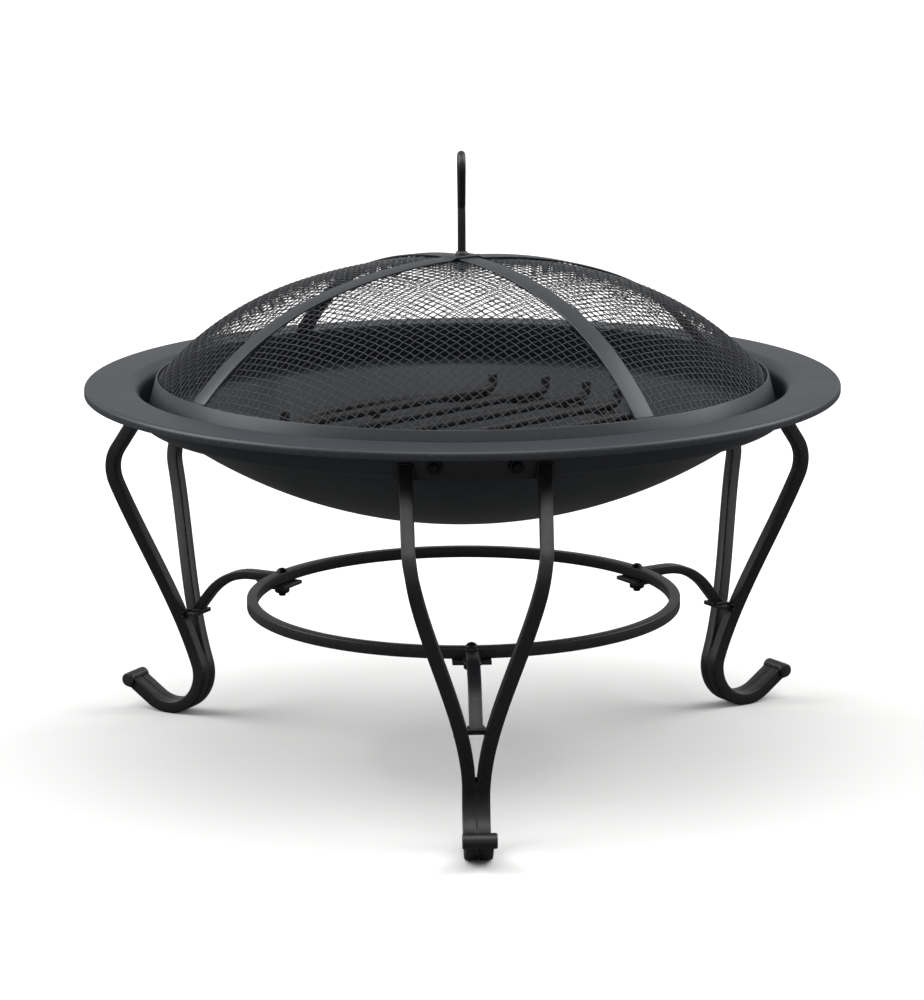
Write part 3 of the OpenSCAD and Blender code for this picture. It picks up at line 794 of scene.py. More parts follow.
def weave_tree():
    """Weaves a square mesh of wires in the flat and lays it over the dome."""
    tree, given = new_tree(
        "Woven dome",
        {
            "Count": "Int",
            "Pitch": "Float",
            "Wire radius": "Float",
            "Edge run": "Float",
            "Crown radius": "Float",
            "Crown turn": "Float",
            "Shoulder radius": "Float",
            "Top": "Float",
            "Depth": "Float",
            "Turn": "Float",
            "Material": "Material",
        },
    )
    put = partial(add, tree)
    pitch = given["Pitch"]
    edge = given["Edge run"]

    # one wire is a line of points, one point at each crossing; its copies lie a pitch apart
    half = put("ShaderNodeMath", given["Count"], -1.0, operation="ADD")
    half = put("ShaderNodeMath", half, -0.5, operation="MULTIPLY")
    start = put("ShaderNodeMath", half, pitch, operation="MULTIPLY")
    wire = put(
        "GeometryNodeMeshLine",
        given["Count"],
        named={
            "Start Location": put("ShaderNodeCombineXYZ", start),
            "Offset": put("ShaderNodeCombineXYZ", pitch),
        },
    )
    rows = put(
        "GeometryNodeMeshLine",
        given["Count"],
        named={
            "Start Location": put("ShaderNodeCombineXYZ", None, start),
            "Offset": put("ShaderNodeCombineXYZ", None, pitch),
        },
    )
    wires = put(
        "GeometryNodeInstanceOnPoints",
        rows,
        named={"Instance": put("GeometryNodeMeshToCurve", wire)},
    )
    wires = put("GeometryNodeRealizeInstances", wires)

    # cut the wires to the round edge
    place = put("ShaderNodeSeparateXYZ", put("GeometryNodeInputPosition")).node.outputs
    u, v = place["X"], place["Y"]
    edge_squared = put("ShaderNodeMath", edge, 2.0, operation="POWER")
    v_squared = put("ShaderNodeMath", v, v, operation="MULTIPLY")
    reach = put("ShaderNodeMath", edge_squared, v_squared, operation="SUBTRACT")
    reach = put("ShaderNodeMath", reach, 0.0, operation="MAXIMUM")
    reach = put("ShaderNodeMath", reach, operation="SQRT")
    past = put("ShaderNodeMath", u, operation="ABSOLUTE")
    past = put("ShaderNodeMath", past, reach, operation="SUBTRACT")
    too_far = put("ShaderNodeMath", past, pitch, operation="GREATER_THAN")
    outside = put("ShaderNodeMath", reach, 0.0005, operation="LESS_THAN")
    gone = put("ShaderNodeMath", too_far, outside, operation="MAXIMUM")
    wires = put("GeometryNodeDeleteGeometry", wires, gone, domain="POINT")
    low = put("ShaderNodeMath", reach, -1.0, operation="MULTIPLY")
    u = put("ShaderNodeMath", u, low, operation="MAXIMUM")
    u = put("ShaderNodeMath", u, reach, operation="MINIMUM")

    # over one wire, under the next
    weave = put("ShaderNodeMath", u, v, operation="ADD")
    weave = put("ShaderNodeMath", weave, pitch, operation="DIVIDE")
    weave = put("ShaderNodeMath", weave, math.pi, operation="MULTIPLY")
    weave = put("ShaderNodeMath", weave, operation="COSINE")
    weave = put("ShaderNodeMath", weave, given["Wire radius"], operation="MULTIPLY")
    flat = put("ShaderNodeCombineXYZ", u, v, weave)
    warp = put("GeometryNodeSetPosition", wires, True, flat)
    weft = put(
        "GeometryNodeTransform", warp, named={"Rotation": Euler((math.pi, 0, math.pi / 2))}
    )
    both = put("GeometryNodeJoinGeometry", warp)
    tree.links.new(weft, both.node.inputs[0])

    # lay the flat weave on the dome, keeping each point's distance along the surface
    place = put("ShaderNodeSeparateXYZ", put("GeometryNodeInputPosition")).node.outputs
    level = put("ShaderNodeCombineXYZ", place["X"], place["Y"])
    run = put("ShaderNodeVectorMath", level, operation="LENGTH", output="Value")
    out = put("ShaderNodeVectorMath", level, operation="NORMALIZE")
    crown_run = put(
        "ShaderNodeMath", given["Crown radius"], given["Crown turn"], operation="MULTIPLY"
    )
    on_crown = put("ShaderNodeMath", run, crown_run, operation="MINIMUM")
    past_crown = put("ShaderNodeMath", run, on_crown, operation="SUBTRACT")
    crown = put("ShaderNodeMath", on_crown, given["Crown radius"], operation="DIVIDE")
    more = put("ShaderNodeMath", past_crown, given["Shoulder radius"], operation="DIVIDE")
    lean = put("ShaderNodeMath", crown, more, operation="ADD")
    bent = put("ShaderNodeMath", given["Crown turn"], more, operation="ADD")
    sin_lean = put("ShaderNodeMath", lean, operation="SINE")
    cos_lean = put("ShaderNodeMath", lean, operation="COSINE")
    sin_crown = put("ShaderNodeMath", crown, operation="SINE")
    cos_crown = put("ShaderNodeMath", crown, operation="COSINE")
    sin_start = put("ShaderNodeMath", given["Crown turn"], operation="SINE")
    cos_start = put("ShaderNodeMath", given["Crown turn"], operation="COSINE")
    sin_bent = put("ShaderNodeMath", bent, operation="SINE")
    cos_bent = put("ShaderNodeMath", bent, operation="COSINE")
    wider = put("ShaderNodeMath", sin_bent, sin_start, operation="SUBTRACT")
    wider = put("ShaderNodeMath", wider, given["Shoulder radius"], operation="MULTIPLY")
    radius = put(
        "ShaderNodeMath", sin_crown, given["Crown radius"], wider, operation="MULTIPLY_ADD"
    )
    lower = put("ShaderNodeMath", cos_bent, cos_start, operation="SUBTRACT")
    lower = put("ShaderNodeMath", lower, given["Shoulder radius"], operation="MULTIPLY")
    height = put("ShaderNodeMath", cos_crown, -1.0, operation="ADD")
    height = put(
        "ShaderNodeMath", height, given["Crown radius"], lower, operation="MULTIPLY_ADD"
    )
    height = put("ShaderNodeMath", height, given["Top"], operation="ADD")
    proud = put("ShaderNodeMath", place["Z"], given["Depth"], operation="SUBTRACT")
    radius = put("ShaderNodeMath", sin_lean, proud, radius, operation="MULTIPLY_ADD")
    height = put("ShaderNodeMath", cos_lean, proud, height, operation="MULTIPLY_ADD")
    ring = put("ShaderNodeVectorMath", out, named={"Scale": radius}, operation="SCALE")
    rise = put("ShaderNodeCombineXYZ", None, None, height)
    domed = put("ShaderNodeVectorMath", ring, rise, operation="ADD")
    laid = put("GeometryNodeSetPosition", both, True, domed)
    turned = put(
        "GeometryNodeTransform",
        laid,
        named={"Rotation": put("ShaderNodeCombineXYZ", None, None, given["Turn"])},
    )
    ring = put("GeometryNodeCurvePrimitiveCircle", 5, named={"Radius": given["Wire radius"]})
    mesh = put("GeometryNodeCurveToMesh", turned, ring, named={"Fill Caps": True})
    end_tree(tree, mesh, given["Material"])
    return tree


trees = {}


# ---- bolts and nuts ----


def bolt_shape(diameter, length, head_d, head_h, inward=False):
    """A bolt with a low domed head above the origin and its threaded shank below."""
    shape = bmesh.new()
    cap_r = (head_d**2 / 4 + head_h**2) / (2 * head_h)
    edge = math.degrees(math.asin(head_d / 2 / cap_r))
    profile = [(0, -length), (diameter / 2 - 0.6 * MM, -length)]
    pitch = 1.0 * MM
    turns = int(length / pitch * 0.8)
    for i in range(turns):
        foot = -length + 0.4 * MM + i * pitch
        profile.append((diameter / 2 - 0.45 * MM, foot))
        profile.append((diameter / 2, foot + pitch / 2))
    profile.append((diameter / 2 - 0.1 * MM, 0))
    profile.append((head_d / 2, 0))
    profile += arc((0, head_h - cap_r), cap_r, 90 - edge + 0.5, 90, 8)
    profile[-1] = (0, head_h)
    lathe(shape, profile, 24)
    return turned_shape(shape, inward)


def nut_shape(across_flats, height, bore, inward=False):
    """A hexagon nut below the origin, with chamfered corners and a bore."""
    shape = bmesh.new()
    segments = 48
    chamfer = 0.9 * MM
    rings = []
    for i in range(segments):
        turn = 2 * math.pi * i / segments
        flat = ((math.degrees(turn) + 30) % 60) - 30
        hexagon = across_flats / 2 / math.cos(math.radians(flat))
        cut = min(hexagon, across_flats / 2 + 0.15 * MM)
        ring = []
        for radius, z in (
            (bore / 2, 0.0),
            (cut, 0.0),
            (hexagon, -chamfer),
            (hexagon, chamfer - height),
            (cut, -height),
            (bore / 2 + 0.4 * MM, -height),
            (bore / 2, 0.4 * MM - height),
        ):
            ring.append(shape.verts.new((radius * math.cos(turn), radius * math.sin(turn), z)))
        rings.append(ring)
    for ring, following in zip(rings, rings[1:] + rings[:1]):
        for j in range(len(ring)):
            k = (j + 1) % len(ring)
            shape.faces.new((ring[j], following[j], following[k], ring[k]))
    return turned_shape(shape, inward)


def turned_shape(shape, inward):
    """A mesh of a fastener, pointing up or, for the bowl's wall, inwards to the axis."""
    if inward:
        turn = Matrix.Rotation(-math.pi / 2, 3, "Y")
        bmesh.ops.rotate(shape, verts=shape.verts[:], matrix=turn)
    bmesh.ops.remove_doubles(shape, verts=shape.verts[:], dist=1e-6)
    bmesh.ops.recalc_face_normals(shape, faces=shape.faces[:])
    for edge in shape.edges:
        edge.smooth = edge.calc_face_angle(0.0) < math.radians(40)
    for face in shape.faces:
        face.smooth = True
    mesh = bpy.data.meshes.new("fastener")
    shape.to_mesh(mesh)
    shape.free()
    return mesh


def make_fasteners(sizes):
    """Bolts and nuts of the lower ring and of the bowl's wall."""
    step = math.radians(120)
    front = math.radians(-90)
    pad_t = PAD_HIGH.z - PAD_LOW.z
    nut_h = 5 * MM
    ring_mid = RING_HIGH.x - RING_W / 2
    ring_h = RING_HIGH.z - RING_LOW.z
    wall_in = RIM_R - sizes.rim_w
    plate_out = -PLATE_LOW.y
    bolt_up = (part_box("bowl_nuts")[0].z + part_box("bowl_nuts")[1].z) / 2
    side = 2 * math.asin(27 * MM / (wall_in + sizes.sheet_t))
    once = {"Count": 3, "Per group": 1, "Group step": step, "Spread": 0.0, "Start": front}
    twice = {"Count": 6, "Per group": 2, "Group step": step, "Spread": side, "Start": front}
    long_bolt = ring_h + pad_t + nut_h + 2.5 * MM
    wall_bolt = plate_out - wall_in + nut_h + 2.5 * MM
    jobs = (
        ("ring_bolts", bolt_shape(sizes.bolt_d, long_bolt, 9 * MM, 3 * MM),
         {**once, "Radius": ring_mid, "Height": RING_HIGH.z}),
        ("ring_nuts", nut_shape(sizes.nut_af, nut_h, sizes.bolt_d),
         {**once, "Radius": ring_mid, "Height": PAD_LOW.z}),
        ("bowl_bolts", bolt_shape(sizes.bolt_d, wall_bolt, 9 * MM, 2.2 * MM, inward=True),
         {**twice, "Radius": wall_in, "Height": bolt_up}),
        ("bowl_nuts", nut_shape(sizes.nut_af, nut_h, sizes.bolt_d, inward=True),
         {**twice, "Radius": plate_out, "Height": bolt_up}),
    )
    for node, mesh, values in jobs:
        piece = run_tree(f"{node}_set", mesh, trees["round"], values, "bolt_finish")
        join_frame(piece, "bolt_finish", "stand", node)


# ---- spark screen ----


class Dome:
    """The outside of the screen's dome: a flat crown arc and a tighter shoulder arc."""

    def __init__(self, sizes):
        self.crown_r = 400 * MM
        crown_edge = 130 * MM
        self.crown_turn = math.asin(crown_edge / self.crown_r)
        edge_r = BAND_HIGH.x - BAND_SLOPE * (BAND_HIGH.z - BAND_LOW.z) - BAND_T
        edge_z = BAND_HIGH.z - 2 * MM
        edge = Vector((edge_r, edge_z - DOME_TOP + self.crown_r))
        crown_dir = Vector((math.sin(self.crown_turn), math.cos(self.crown_turn)))
        dot = edge.dot(crown_dir)
        self.shoulder_r = (edge.dot(edge) - 2 * self.crown_r * dot + self.crown_r**2) / (
            2 * (self.crown_r - dot)
        )
        centre = crown_dir * (self.crown_r - self.shoulder_r)
        self.edge_turn = math.atan2(edge.x - centre.x, edge.y - centre.y)
        self.crown_run = self.crown_r * self.crown_turn
        self.edge_run = self.crown_run + self.shoulder_r * (self.edge_turn - self.crown_turn)

    def at(self, run):
        """Radius, height and lean of the outside at a distance along it from the top."""
        on_crown = min(run, self.crown_run) / self.crown_r
        more = max(run - self.crown_run, 0.0) / self.shoulder_r
        bent = self.crown_turn + more
        radius = self.crown_r * math.sin(on_crown)
        radius += self.shoulder_r * (math.sin(bent) - math.sin(self.crown_turn))
        height = DOME_TOP - self.crown_r * (1 - math.cos(on_crown))
        height -= self.shoulder_r * (math.cos(self.crown_turn) - math.cos(bent))
        return radius, height, on_crown + more


def strap_stations(sizes, dome, turn, crossing_lift):
    """Places along a strap over the dome; it rises by crossing_lift where it crosses the other."""
    along = outward(turn)
    across = UP.cross(along)
    end_run = dome.edge_run - 2.2 * MM
    step_in = sizes.strap_w / 2 + 1.5 * MM
    count = 120
    stations = []
    for i in range(count + 1):
        # closer stations round the crossing, where the strap steps up
        share = 2 * i / count - 1
        run = end_run * (0.35 * share + 0.65 * share**3)
        side = 1 if run >= 0 else -1
        radius, height, lean = dome.at(abs(run))
        out = along * side
        normal = out * math.sin(lean) + UP * math.cos(lean)
        near = min(1.0, max(0.0, (abs(run) - step_in) / (5 * MM)))
        lift = crossing_lift * (1 - near * near * (3 - 2 * near))
        place = out * radius + UP * height + normal * (sizes.strap_t / 2 + lift)
        stations.append((place, across, normal))
    return stations


def make_screen_frame(sizes):
    """The conical band and the two straps of the spark screen."""
    dome = Dome(sizes)
    band_h = BAND_HIGH.z - BAND_LOW.z
    slope = Vector((-BAND_SLOPE, 1.0)).normalized()
    shape = bmesh.new()
    stations = []
    for i in range(240):
        out = outward(360 * i / 240)
        middle = BAND_HIGH.x - BAND_SLOPE * band_h / 2 - BAND_T / 2
        place = out * middle + UP * (BAND_LOW.z + band_h / 2)
        stations.append((place, out * slope.y - UP * slope.x, out * slope.x + UP * slope.y))
    section = partial(bar_section, BAND_T * slope.y, band_h / slope.y, 0.6 * MM)
    sweep(shape, section, stations, closed=True)
    finish("screen_band_rolled", shape, "screen_coat", "screen", "screen_band")

    strap = partial(bar_section, sizes.strap_w, sizes.strap_t, 0.6 * MM)
    for node, turn in STRAP_TURNS.items():
        # the upper strap steps over the lower one
        lift = sizes.strap_t if node == "upper_strap" else 0.0
        shape = bmesh.new()
        sweep(shape, strap, strap_stations(sizes, dome, turn, lift), 0.4 * MM)
        finish(f"{node}_bent", shape, "screen_coat", "screen", node)


def make_screen_mesh(sizes):
    """The woven wire dome."""
    dome = Dome(sizes)
    half_count = math.ceil(dome.edge_run / sizes.wire_pitch) + 1
    values = {
        "Count": 2 * half_count + 1,
        "Pitch": sizes.wire_pitch,
        "Wire radius": sizes.wire_d / 2,
        "Edge run": dome.edge_run - 0.5 * MM,
        "Crown radius": dome.crown_r,
        "Crown turn": dome.crown_turn,
        "Shoulder radius": dome.shoulder_r,
        "Top": DOME_TOP,
        "Depth": sizes.wire_d,
        "Turn": math.radians(WEAVE_TURN),
    }
    mesh = bpy.data.meshes.new("wire_start")
    piece = run_tree("screen_mesh_woven", mesh, trees["weave"], values, "screen_wire")
    join_frame(piece, "screen_wire", "screen", "screen_mesh")


def rod_stations(path, across):
    """Places along a rod bent in one plane: across is the direction square to that plane."""
    stations = []
    for i, place in enumerate(path):
        before = path[max(i - 1, 0)]
        after = path[min(i + 1, len(path) - 1)]
        along = (after - before).normalized()
        stations.append((place, across, across.cross(along).normalized()))
    return stations


def make_handle(sizes):
    """The lifting eye: a rod bent round into a teardrop above a shouldered, threaded stud."""
    low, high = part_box("screen_handle")
    radius = sizes.rod_d / 2
    eye_up = high.z - radius - sizes.eye_r
    neck = eye_up - EYE_NECK
    lean = math.degrees(math.asin(sizes.eye_r / (eye_up - neck)))
    loop = arc((0, eye_up), sizes.eye_r, -lean, 180 + lean, 40)
    path = [Vector((0, 0, low.z + 0.2 * MM)), Vector((0, 0, low.z + 20 * MM))]
    path.append(Vector((0, 0, neck - 8 * MM)))
    path.append(Vector((0, 0.1 * MM, neck - 3 * MM)))
    path.append(Vector((0, 0.6 * MM, neck + 0.5 * MM)))
    path += [Vector((0, y, z)) for y, z in loop]
    start = path[-1]
    end = Vector((0, -0.8 * MM, neck + 5.5 * MM))
    path += [start.lerp(end, i / 4) for i in range(1, 5)]
    shape = bmesh.new()
    rod = partial(round_section, radius, steps=20)
    sweep(shape, rod, rod_stations(path, Vector((1, 0, 0))), 0.5 * MM)
    seat = DOME_TOP + 2 * sizes.strap_t
    collar = [(radius - 0.4 * MM, seat - 0.2 * MM), (1.6 * radius, seat)]
    collar += [(1.6 * radius, seat + 1.0 * MM), (1.2 * radius, seat + 2.6 * MM)]
    collar += [(radius - 0.4 * MM, seat + 3.0 * MM)]
    lathe(shape, collar, 32)
    # thread of the stud below the dome
    pitch = 1.0 * MM
    foot = low.z + 0.4 * MM
    for i in range(7):
        z = foot + i * pitch
        ridge = [(radius - 0.3 * MM, z), (radius + 0.15 * MM, z + pitch / 2)]
        ridge.append((radius - 0.3 * MM, z + pitch))
        lathe(shape, ridge, 24)
    finish("screen_handle_eye", shape, "handle_coat", "screen", "screen_handle")


# ---- log grate ----


def make_grate(sizes):
    """The log grate: a wire ring, five bars with turned-up ends, and three feet."""
    radius = (GRATE_HIGH.z - GRATE_LOW.z) / 2
    ring_r = GRATE_HIGH.x - radius
    ring_up = (GRATE_HIGH.z + GRATE_LOW.z) / 2
    wire = partial(round_section, radius, steps=20)
    shape = bmesh.new()
    stations = []
    for i in range(144):
        out = outward(360 * i / 144)
        stations.append((out * ring_r + UP * ring_up, out, UP))
    sweep(shape, wire, stations, closed=True)
    finish("grate_ring_wire", shape, "grate_steel", "log_grate", "grate_ring")

    along = outward(GRATE_TURN)
    side = UP.cross(along)
    bend = 6 * MM
    bar_up = ring_up + 2 * radius
    for number in GRATE_BARS:
        offset = (number - 3) * sizes.bar_step
        half = math.sqrt(ring_r**2 - offset**2) + 8 * MM
        tip = bar_up + 12 * MM
        right = arc((half - bend, bar_up + bend), bend, -90, 0, 8)
        right += [(half, (bar_up + bend + tip) / 2), (half, tip)]
        left = [(-x, z) for x, z in reversed(right)]
        middle = [(half * (i / 4 - 1) * 0.9, bar_up) for i in range(9)]
        path = [along * x + side * offset + UP * z for x, z in [*left, *middle, *right]]
        shape = bmesh.new()
        sweep(shape, wire, rod_stations(path, side), 1.2 * MM)
        node = f"grate_bar_{number}"
        finish(f"{node}_wire", shape, "grate_steel", "log_grate", node)

    for number, turn in GRATE_FOOT_TURNS.items():
        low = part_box(f"grate_foot_{number}")[0].z
        out = outward(turn)
        path = [out * ring_r + UP * (low + (ring_up - low) * i / 6) for i in range(7)]
        shape = bmesh.new()
        across = out.cross(UP)
        sweep(shape, wire, rod_stations(path, across), 3.0 * MM)
        node = f"grate_foot_{number}"
        finish(f"{node}_wire", shape, "grate_steel", "log_grate", node)


# ---- welds ----


def bead_mesh(paths):
    """A mesh that holds only edge paths, for the weld bead tree."""
    mesh = bpy.data.meshes.new("bead_paths")
    points = []
    edges = []
    for path in paths:
        edges += [(len(points) + i, len(points) + i + 1) for i in range(len(path) - 1)]
        points += path
    mesh.from_pydata([tuple(p) for p in points], edges, [])
    return mesh


def leg_bead_paths(sizes, side):
    """Where one leg is welded: bars to plate, tab, roller and each other, and arm to ring."""
    half = sizes.bar_w / 2
    touch_turn = 58.0  # from the roller's back to where a toe's faces meet it
    groove_top = 48 * MM
    groove_depth = sizes.weld_r + 0.1 * MM  # the bead lies just under the bars' faces
    plate_out = -PLATE_LOW.y
    low = PLATE_LOW.z - 2 * MM
    high = PLATE_LOW.z + 10.5 * MM
    paths = []
    for hand in (-1, 1):
        centre = hand * sizes.leg_spread / 2
        loop = []
        for across, up in (
            (centre - half, low),
            (centre - half, high),
            (centre, high + 0.5 * MM),
            (centre + half, high),
            (centre + half, low),
        ):
            out = math.sqrt(plate_out**2 - across**2)
            loop.append(in_leg(side, out + 0.3 * MM, across, up))
        paths.append(loop)
        # tab to the back of the bar
        offset = hand * leg_offset(sizes, TAB_HIGH.z)[0]
        out = -TAB_LOW.y
        for up in (TAB_HIGH.z + 0.3 * MM, TAB_LOW.z - 0.3 * MM):
            paths.append(
                [in_leg(side, out, offset + reach * half, up) for reach in (-1.0, 0.0, 0.9)]
            )
        # toe to the roller, above and below
        offset = hand * leg_offset(sizes, 0.0)[0]
        middle = -(ROLLER_LOW.y + ROLLER_HIGH.y) / 2
        height = (ROLLER_LOW.z + ROLLER_HIGH.z) / 2
        radius = (ROLLER_HIGH.z - ROLLER_LOW.z) / 2
        for turn in (TOE_TURN + 180 - touch_turn, TOE_TURN + 180 + touch_turn):
            out = middle + radius * math.cos(math.radians(turn))
            up = height + radius * math.sin(math.radians(turn))
            paths.append(
                [in_leg(side, out, offset + reach * half, up) for reach in (-0.95, 0.0, 0.95)]
            )
    # the two bars to each other, in the groove above the foot
    path = [Vector(point) for point in leg_side_path(sizes)]
    start = next(i for i, point in enumerate(path) if point.y < groove_top)
    for face in (-1, 1):
        groove = []
        for before, point, after in zip(path[start - 1 :], path[start:], path[start + 1 :]):
            along = (after - before).normalized()
            place = point + Vector((along.y, -along.x)) * face * (half - groove_depth)
            groove.append(in_leg(side, place.x, 0, place.y))
        paths.append(groove)
    # arm to its tab, to the ring and to the pad
    arm_foot = -TAB_LOW.y - half
    span = sizes.arm_t / math.sqrt(2)  # half of the arm's slanted end on its tab
    top = TAB_HIGH.z + 0.2 * MM
    corners = ((-span, -half), (span, -half), (span, half), (-span, half), (-span, -half))
    loop = [in_leg(side, min(arm_foot + out, -TAB_LOW.y), across, top) for out, across in corners]
    paths.append(loop)
    ring_out = RING_HIGH.x + 0.2 * MM
    arm_top = RING_LOW.z + sizes.arm_t
    paths.append([in_leg(side, ring_out, across, arm_top) for across in (-half, 0.0, half)])
    for across in (-half, half):
        runs = (0.0, 8 * MM, 16 * MM)
        paths.append([in_leg(side, ring_out + run, across, PAD_HIGH.z + 0.2 * MM) for run in runs])
    return paths


def make_welds(sizes):
    """Weld beads of the stand, the screen and the grate."""
    values = {"Size": sizes.weld_r, "Ripple": 1.6 * MM}
    for side in LEG_TURNS:
        mesh = bead_mesh(leg_bead_paths(sizes, side))
        piece = run_tree(f"{side}_leg_welds", mesh, trees["bead"], values, "leg_coat")
        join_frame(piece, "leg_coat", "stand")

    dome = Dome(sizes)
    paths = []
    for turn in (first + half for half in (0, 180) for first in STRAP_TURNS.values()):
        out = outward(turn)
        across = UP.cross(out)
        radius = dome.at(dome.edge_run - 2 * MM)[0] + 1.0 * MM
        reach = sizes.strap_w / 2 - 1 * MM
        paths.append([out * radius + across * s * reach + UP * BAND_HIGH.z for s in (-1, 0, 1)])
    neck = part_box("screen_handle")[1].z - sizes.rod_d / 2 - sizes.eye_r - EYE_NECK
    for hand in (-1, 1):
        start = Vector((hand * 1.6 * MM, -1.6 * MM, neck))
        paths.append([start + UP * step for step in (0.0, 3 * MM, 6 * MM)])
    small = {"Size": 0.8 * MM, "Ripple": 1.2 * MM}
    piece = run_tree("screen_welds", bead_mesh(paths), trees["bead"], small, "screen_coat")
    join_frame(piece, "screen_coat", "screen")

    radius = (GRATE_HIGH.z - GRATE_LOW.z) / 2
    ring_r = GRATE_HIGH.x - radius
    bead_up = GRATE_HIGH.z
    along = outward(GRATE_TURN)
    side = UP.cross(along)
    paths = []
    for number in GRATE_BARS:
        offset = (number - 3) * sizes.bar_step
        for end in (-1, 1):
            reach = end * math.sqrt(ring_r**2 - offset**2)
            centre = along * reach + side * offset + UP * bead_up
            for hand in (-1, 1):
                shift = side * hand * 0.5 * radius
                paths.append([centre + shift - along * 2.5 * MM, centre + shift + along * 2.5 * MM])
    for turn in GRATE_FOOT_TURNS.values():
        out = outward(turn)
        centre = out * ring_r + UP * (GRATE_LOW.z + 0.2 * MM)
        across = out.cross(UP)
        for hand in (-1, 1):
            shift = across * hand * radius * 0.8
            paths.append([centre + shift - out * 2 * MM, centre + shift + out * 2 * MM])
    fat = {"Size": 1.6 * MM, "Ripple": 1.8 * MM}
    piece = run_tree("grate_welds", bead_mesh(paths), trees["bead"], fat, "grate_steel")
    join_frame(piece, "grate_steel", "log_grate")


# ---- stage ----


def make_stage(colours):
    """A plain pale floor, soft studio light and the camera."""
    floor_mesh = bpy.data.meshes.new("studio_floor")
    reach = 40.0
    corners = [(-reach, -reach, 0), (reach, -reach, 0), (reach, reach, 0), (-reach, reach, 0)]
    floor_mesh.from_pydata(corners, [], [(0, 1, 2, 3)])
    material = bpy.data.materials.new("Studio floor")
    material.use_nodes = True
    shader = material.node_tree.nodes["Principled BSDF"]
    # the floor looks pale, but bounces less light up under the bowl than it shows
    seen = add(material.node_tree, "ShaderNodeLightPath", output="Is Camera Ray")
    shade = add(
        material.node_tree,
        "ShaderNodeMix",
        named={0: seen, 6: linear("#5c5c5c"), 7: tuple(colours.floor)},
        output=2,
        data_type="RGBA",
    )
    material.node_tree.links.new(shade, shader.inputs["Base Color"])
    shader.inputs["Roughness"].default_value = 0.9
    shader.inputs["Specular IOR Level"].default_value = 0.0
    floor_mesh.materials.append(material)
    floor = bpy.data.objects.new("studio_floor", floor_mesh)
    bpy.context.scene.collection.objects.link(floor)

    scene = bpy.context.scene
    scene.view_settings.view_transform = "Standard"
    scene.world = bpy.data.worlds.new("Studio")
    scene.world.use_nodes = True
    # the backdrop above the floor looks white, but lights the fire pit with less than half of that
    studio = scene.world.node_tree
    sky = studio.nodes["Background"]
    sky.inputs["Color"].default_value = (1.0, 1.0, 1.0, 1.0)
    seen = add(studio, "ShaderNodeLightPath", output="Is Camera Ray")
    strength = add(studio, "ShaderNodeMapRange", seen, 0.0, 1.0, 0.42, 1.0)
    studio.links.new(strength, sky.inputs["Strength"])

    # three very wide, far lights keep the floor evenly white out to the horizon
    lamps = (
        ("left", (-2.0, 0.2, 1.5), 1.95),
        ("right", (2.0, 0.4, 1.5), 1.65),
        ("top", (0.1, -0.6, 2.0), 1.3),
    )
    for name, place, strength in lamps:
        lamp = bpy.data.lights.new(f"{name}_softbox", "SUN")
        lamp.angle = math.radians(50)
        lamp.energy = strength
        light = bpy.data.objects.new(f"{name}_softbox", lamp)
        light.location = place
        light.rotation_euler = (-Vector(place)).to_track_quat("-Z", "Y").to_euler()
        scene.collection.objects.link(light)

    # the camera stands 2.6 m off, a little left of the front leg, and looks down on the bowl
    turn = math.radians(-2.0)
    camera_data = bpy.data.cameras.new("camera")
    camera_data.sensor_fit = "HORIZONTAL"
    camera_data.sensor_width = 36.0
    camera_data.lens = 3551 / 924 * 36.0
    camera_data.shift_x = -1 / 924
    camera_data.clip_end = 200.0
    camera = bpy.data.objects.new("camera", camera_data)
    away = Vector((math.sin(turn), -math.cos(turn), 0)) * 2.6
    look = (
        Matrix.Rotation(turn, 4, "Z")
        @ Matrix.Rotation(math.pi / 2 - 0.2122, 4, "X")
        @ Matrix.Rotation(-0.0050, 4, "Z")
    )
    camera.matrix_world = Matrix.Translation(away + UP * 0.756) @ look
    scene.collection.objects.link(camera)
    scene.camera = camera


# ---- operators ----


class FIREPIT_OT_finishes(bpy.types.Operator):
    """Makes the finishes and the Geometry Nodes trees, and paints the small CAD parts that stay"""

    bl_idname = "firepit.finishes"
    bl_label = "Finishes"

    def execute(self, context):
        materials.update(make_materials(context.scene.fire_pit_colours))
        trees.update({"round": round_tree(), "bead": bead_tree(), "weave": weave_tree()})
        for node in ("handle_washer", "handle_nut"):
            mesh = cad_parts[node].data
            mesh.materials.clear()
            mesh.materials.append(materials["plain_zinc"])
        return {"FINISHED"}


class FIREPIT_OT_bowl(bpy.types.Operator):
    """Presses the bowl with its rim, wall, ledge and dish"""

    bl_idname = "firepit.bowl"
    bl_label = "Bowl"

    def execute(self, context):
        make_bowl(context.scene.fire_pit_sizes)
        return {"FINISHED"}


class FIREPIT_OT_legs(bpy.types.Operator):
    """Bends the leg bars and sets the plates and foot rollers"""

    bl_idname = "firepit.legs"
    bl_label = "Legs"

    def execute(self, context):
        make_legs(context.scene.fire_pit_sizes)
        make_feet(context.scene.fire_pit_sizes)
        return {"FINISHED"}


class FIREPIT_OT_ring(bpy.types.Operator):
    """Rolls the lower ring and sets its tabs, arms and pads"""

    bl_idname = "firepit.ring"
    bl_label = "Lower ring"

    def execute(self, context):
        make_ring_and_arms(context.scene.fire_pit_sizes)
        return {"FINISHED"}


class FIREPIT_OT_fasteners(bpy.types.Operator):
    """Sets the bolts and nuts round the axis"""

    bl_idname = "firepit.fasteners"
    bl_label = "Bolts and nuts"

    def execute(self, context):
        make_fasteners(context.scene.fire_pit_sizes)
        return {"FINISHED"}


class FIREPIT_OT_screen_frame(bpy.types.Operator):
    """Rolls the screen's band and bends its two straps"""

    bl_idname = "firepit.screen_frame"
    bl_label = "Screen frame"

    def execute(self, context):
        make_screen_frame(context.scene.fire_pit_sizes)
        return {"FINISHED"}


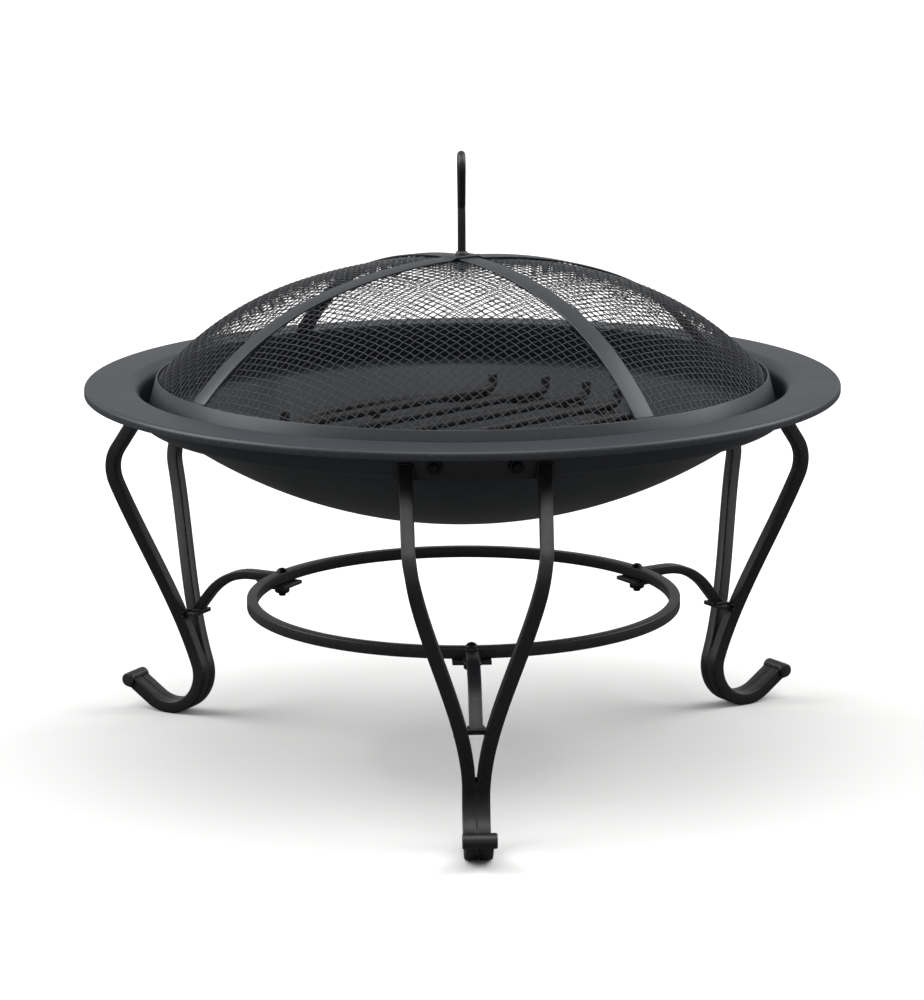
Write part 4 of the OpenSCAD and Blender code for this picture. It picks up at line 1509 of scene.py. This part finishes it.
class FIREPIT_OT_screen_mesh(bpy.types.Operator):
    """Weaves the wire mesh and lays it over the dome"""

    bl_idname = "firepit.screen_mesh"
    bl_label = "Screen mesh"

    def execute(self, context):
        make_screen_mesh(context.scene.fire_pit_sizes)
        return {"FINISHED"}


class FIREPIT_OT_handle(bpy.types.Operator):
    """Bends the screen's lifting eye"""

    bl_idname = "firepit.handle"
    bl_label = "Handle"

    def execute(self, context):
        make_handle(context.scene.fire_pit_sizes)
        return {"FINISHED"}


class FIREPIT_OT_grate(bpy.types.Operator):
    """Bends the log grate's ring, bars and feet"""

    bl_idname = "firepit.grate"
    bl_label = "Log grate"

    def execute(self, context):
        make_grate(context.scene.fire_pit_sizes)
        return {"FINISHED"}


class FIREPIT_OT_welds(bpy.types.Operator):
    """Lays the weld beads"""

    bl_idname = "firepit.welds"
    bl_label = "Welds"

    def execute(self, context):
        make_welds(context.scene.fire_pit_sizes)
        return {"FINISHED"}


class FIREPIT_OT_stage(bpy.types.Operator):
    """Sets the floor, the lights and the camera"""

    bl_idname = "firepit.stage"
    bl_label = "Stage"

    def execute(self, context):
        make_stage(context.scene.fire_pit_colours)
        return {"FINISHED"}


OPERATORS = (
    FIREPIT_OT_finishes,
    FIREPIT_OT_bowl,
    FIREPIT_OT_legs,
    FIREPIT_OT_ring,
    FIREPIT_OT_fasteners,
    FIREPIT_OT_screen_frame,
    FIREPIT_OT_screen_mesh,
    FIREPIT_OT_handle,
    FIREPIT_OT_grate,
    FIREPIT_OT_welds,
    FIREPIT_OT_stage,
)


class FIREPIT_PT_panel(bpy.types.Panel):
    """Lists the sizes, the colours and the steps of the build"""

    bl_idname = "FIREPIT_PT_panel"
    bl_label = "Fire Pit"
    bl_space_type = "VIEW_3D"
    bl_region_type = "UI"
    bl_category = "Fire Pit"

    def draw(self, context):
        for group in (context.scene.fire_pit_sizes, context.scene.fire_pit_colours):
            box = self.layout.box()
            for key in group.__annotations__:
                box.prop(group, key)
        for operator in OPERATORS:
            self.layout.operator(operator.bl_idname)


CLASSES = (FirePitSizes, FirePitColours, *OPERATORS, FIREPIT_PT_panel)


def register():
    for cls in CLASSES:
        bpy.utils.register_class(cls)
    bpy.types.Scene.fire_pit_sizes = bpy.props.PointerProperty(type=FirePitSizes)
    bpy.types.Scene.fire_pit_colours = bpy.props.PointerProperty(type=FirePitColours)


def unregister():
    del bpy.types.Scene.fire_pit_colours
    del bpy.types.Scene.fire_pit_sizes
    for cls in reversed(CLASSES):
        bpy.utils.unregister_class(cls)


def main():
    """Builds every piece."""
    register()
    for operator in OPERATORS:
        group, name = operator.bl_idname.split(".")
        getattr(getattr(bpy.ops, group), name)()


if __name__ == "__main__":
    main()
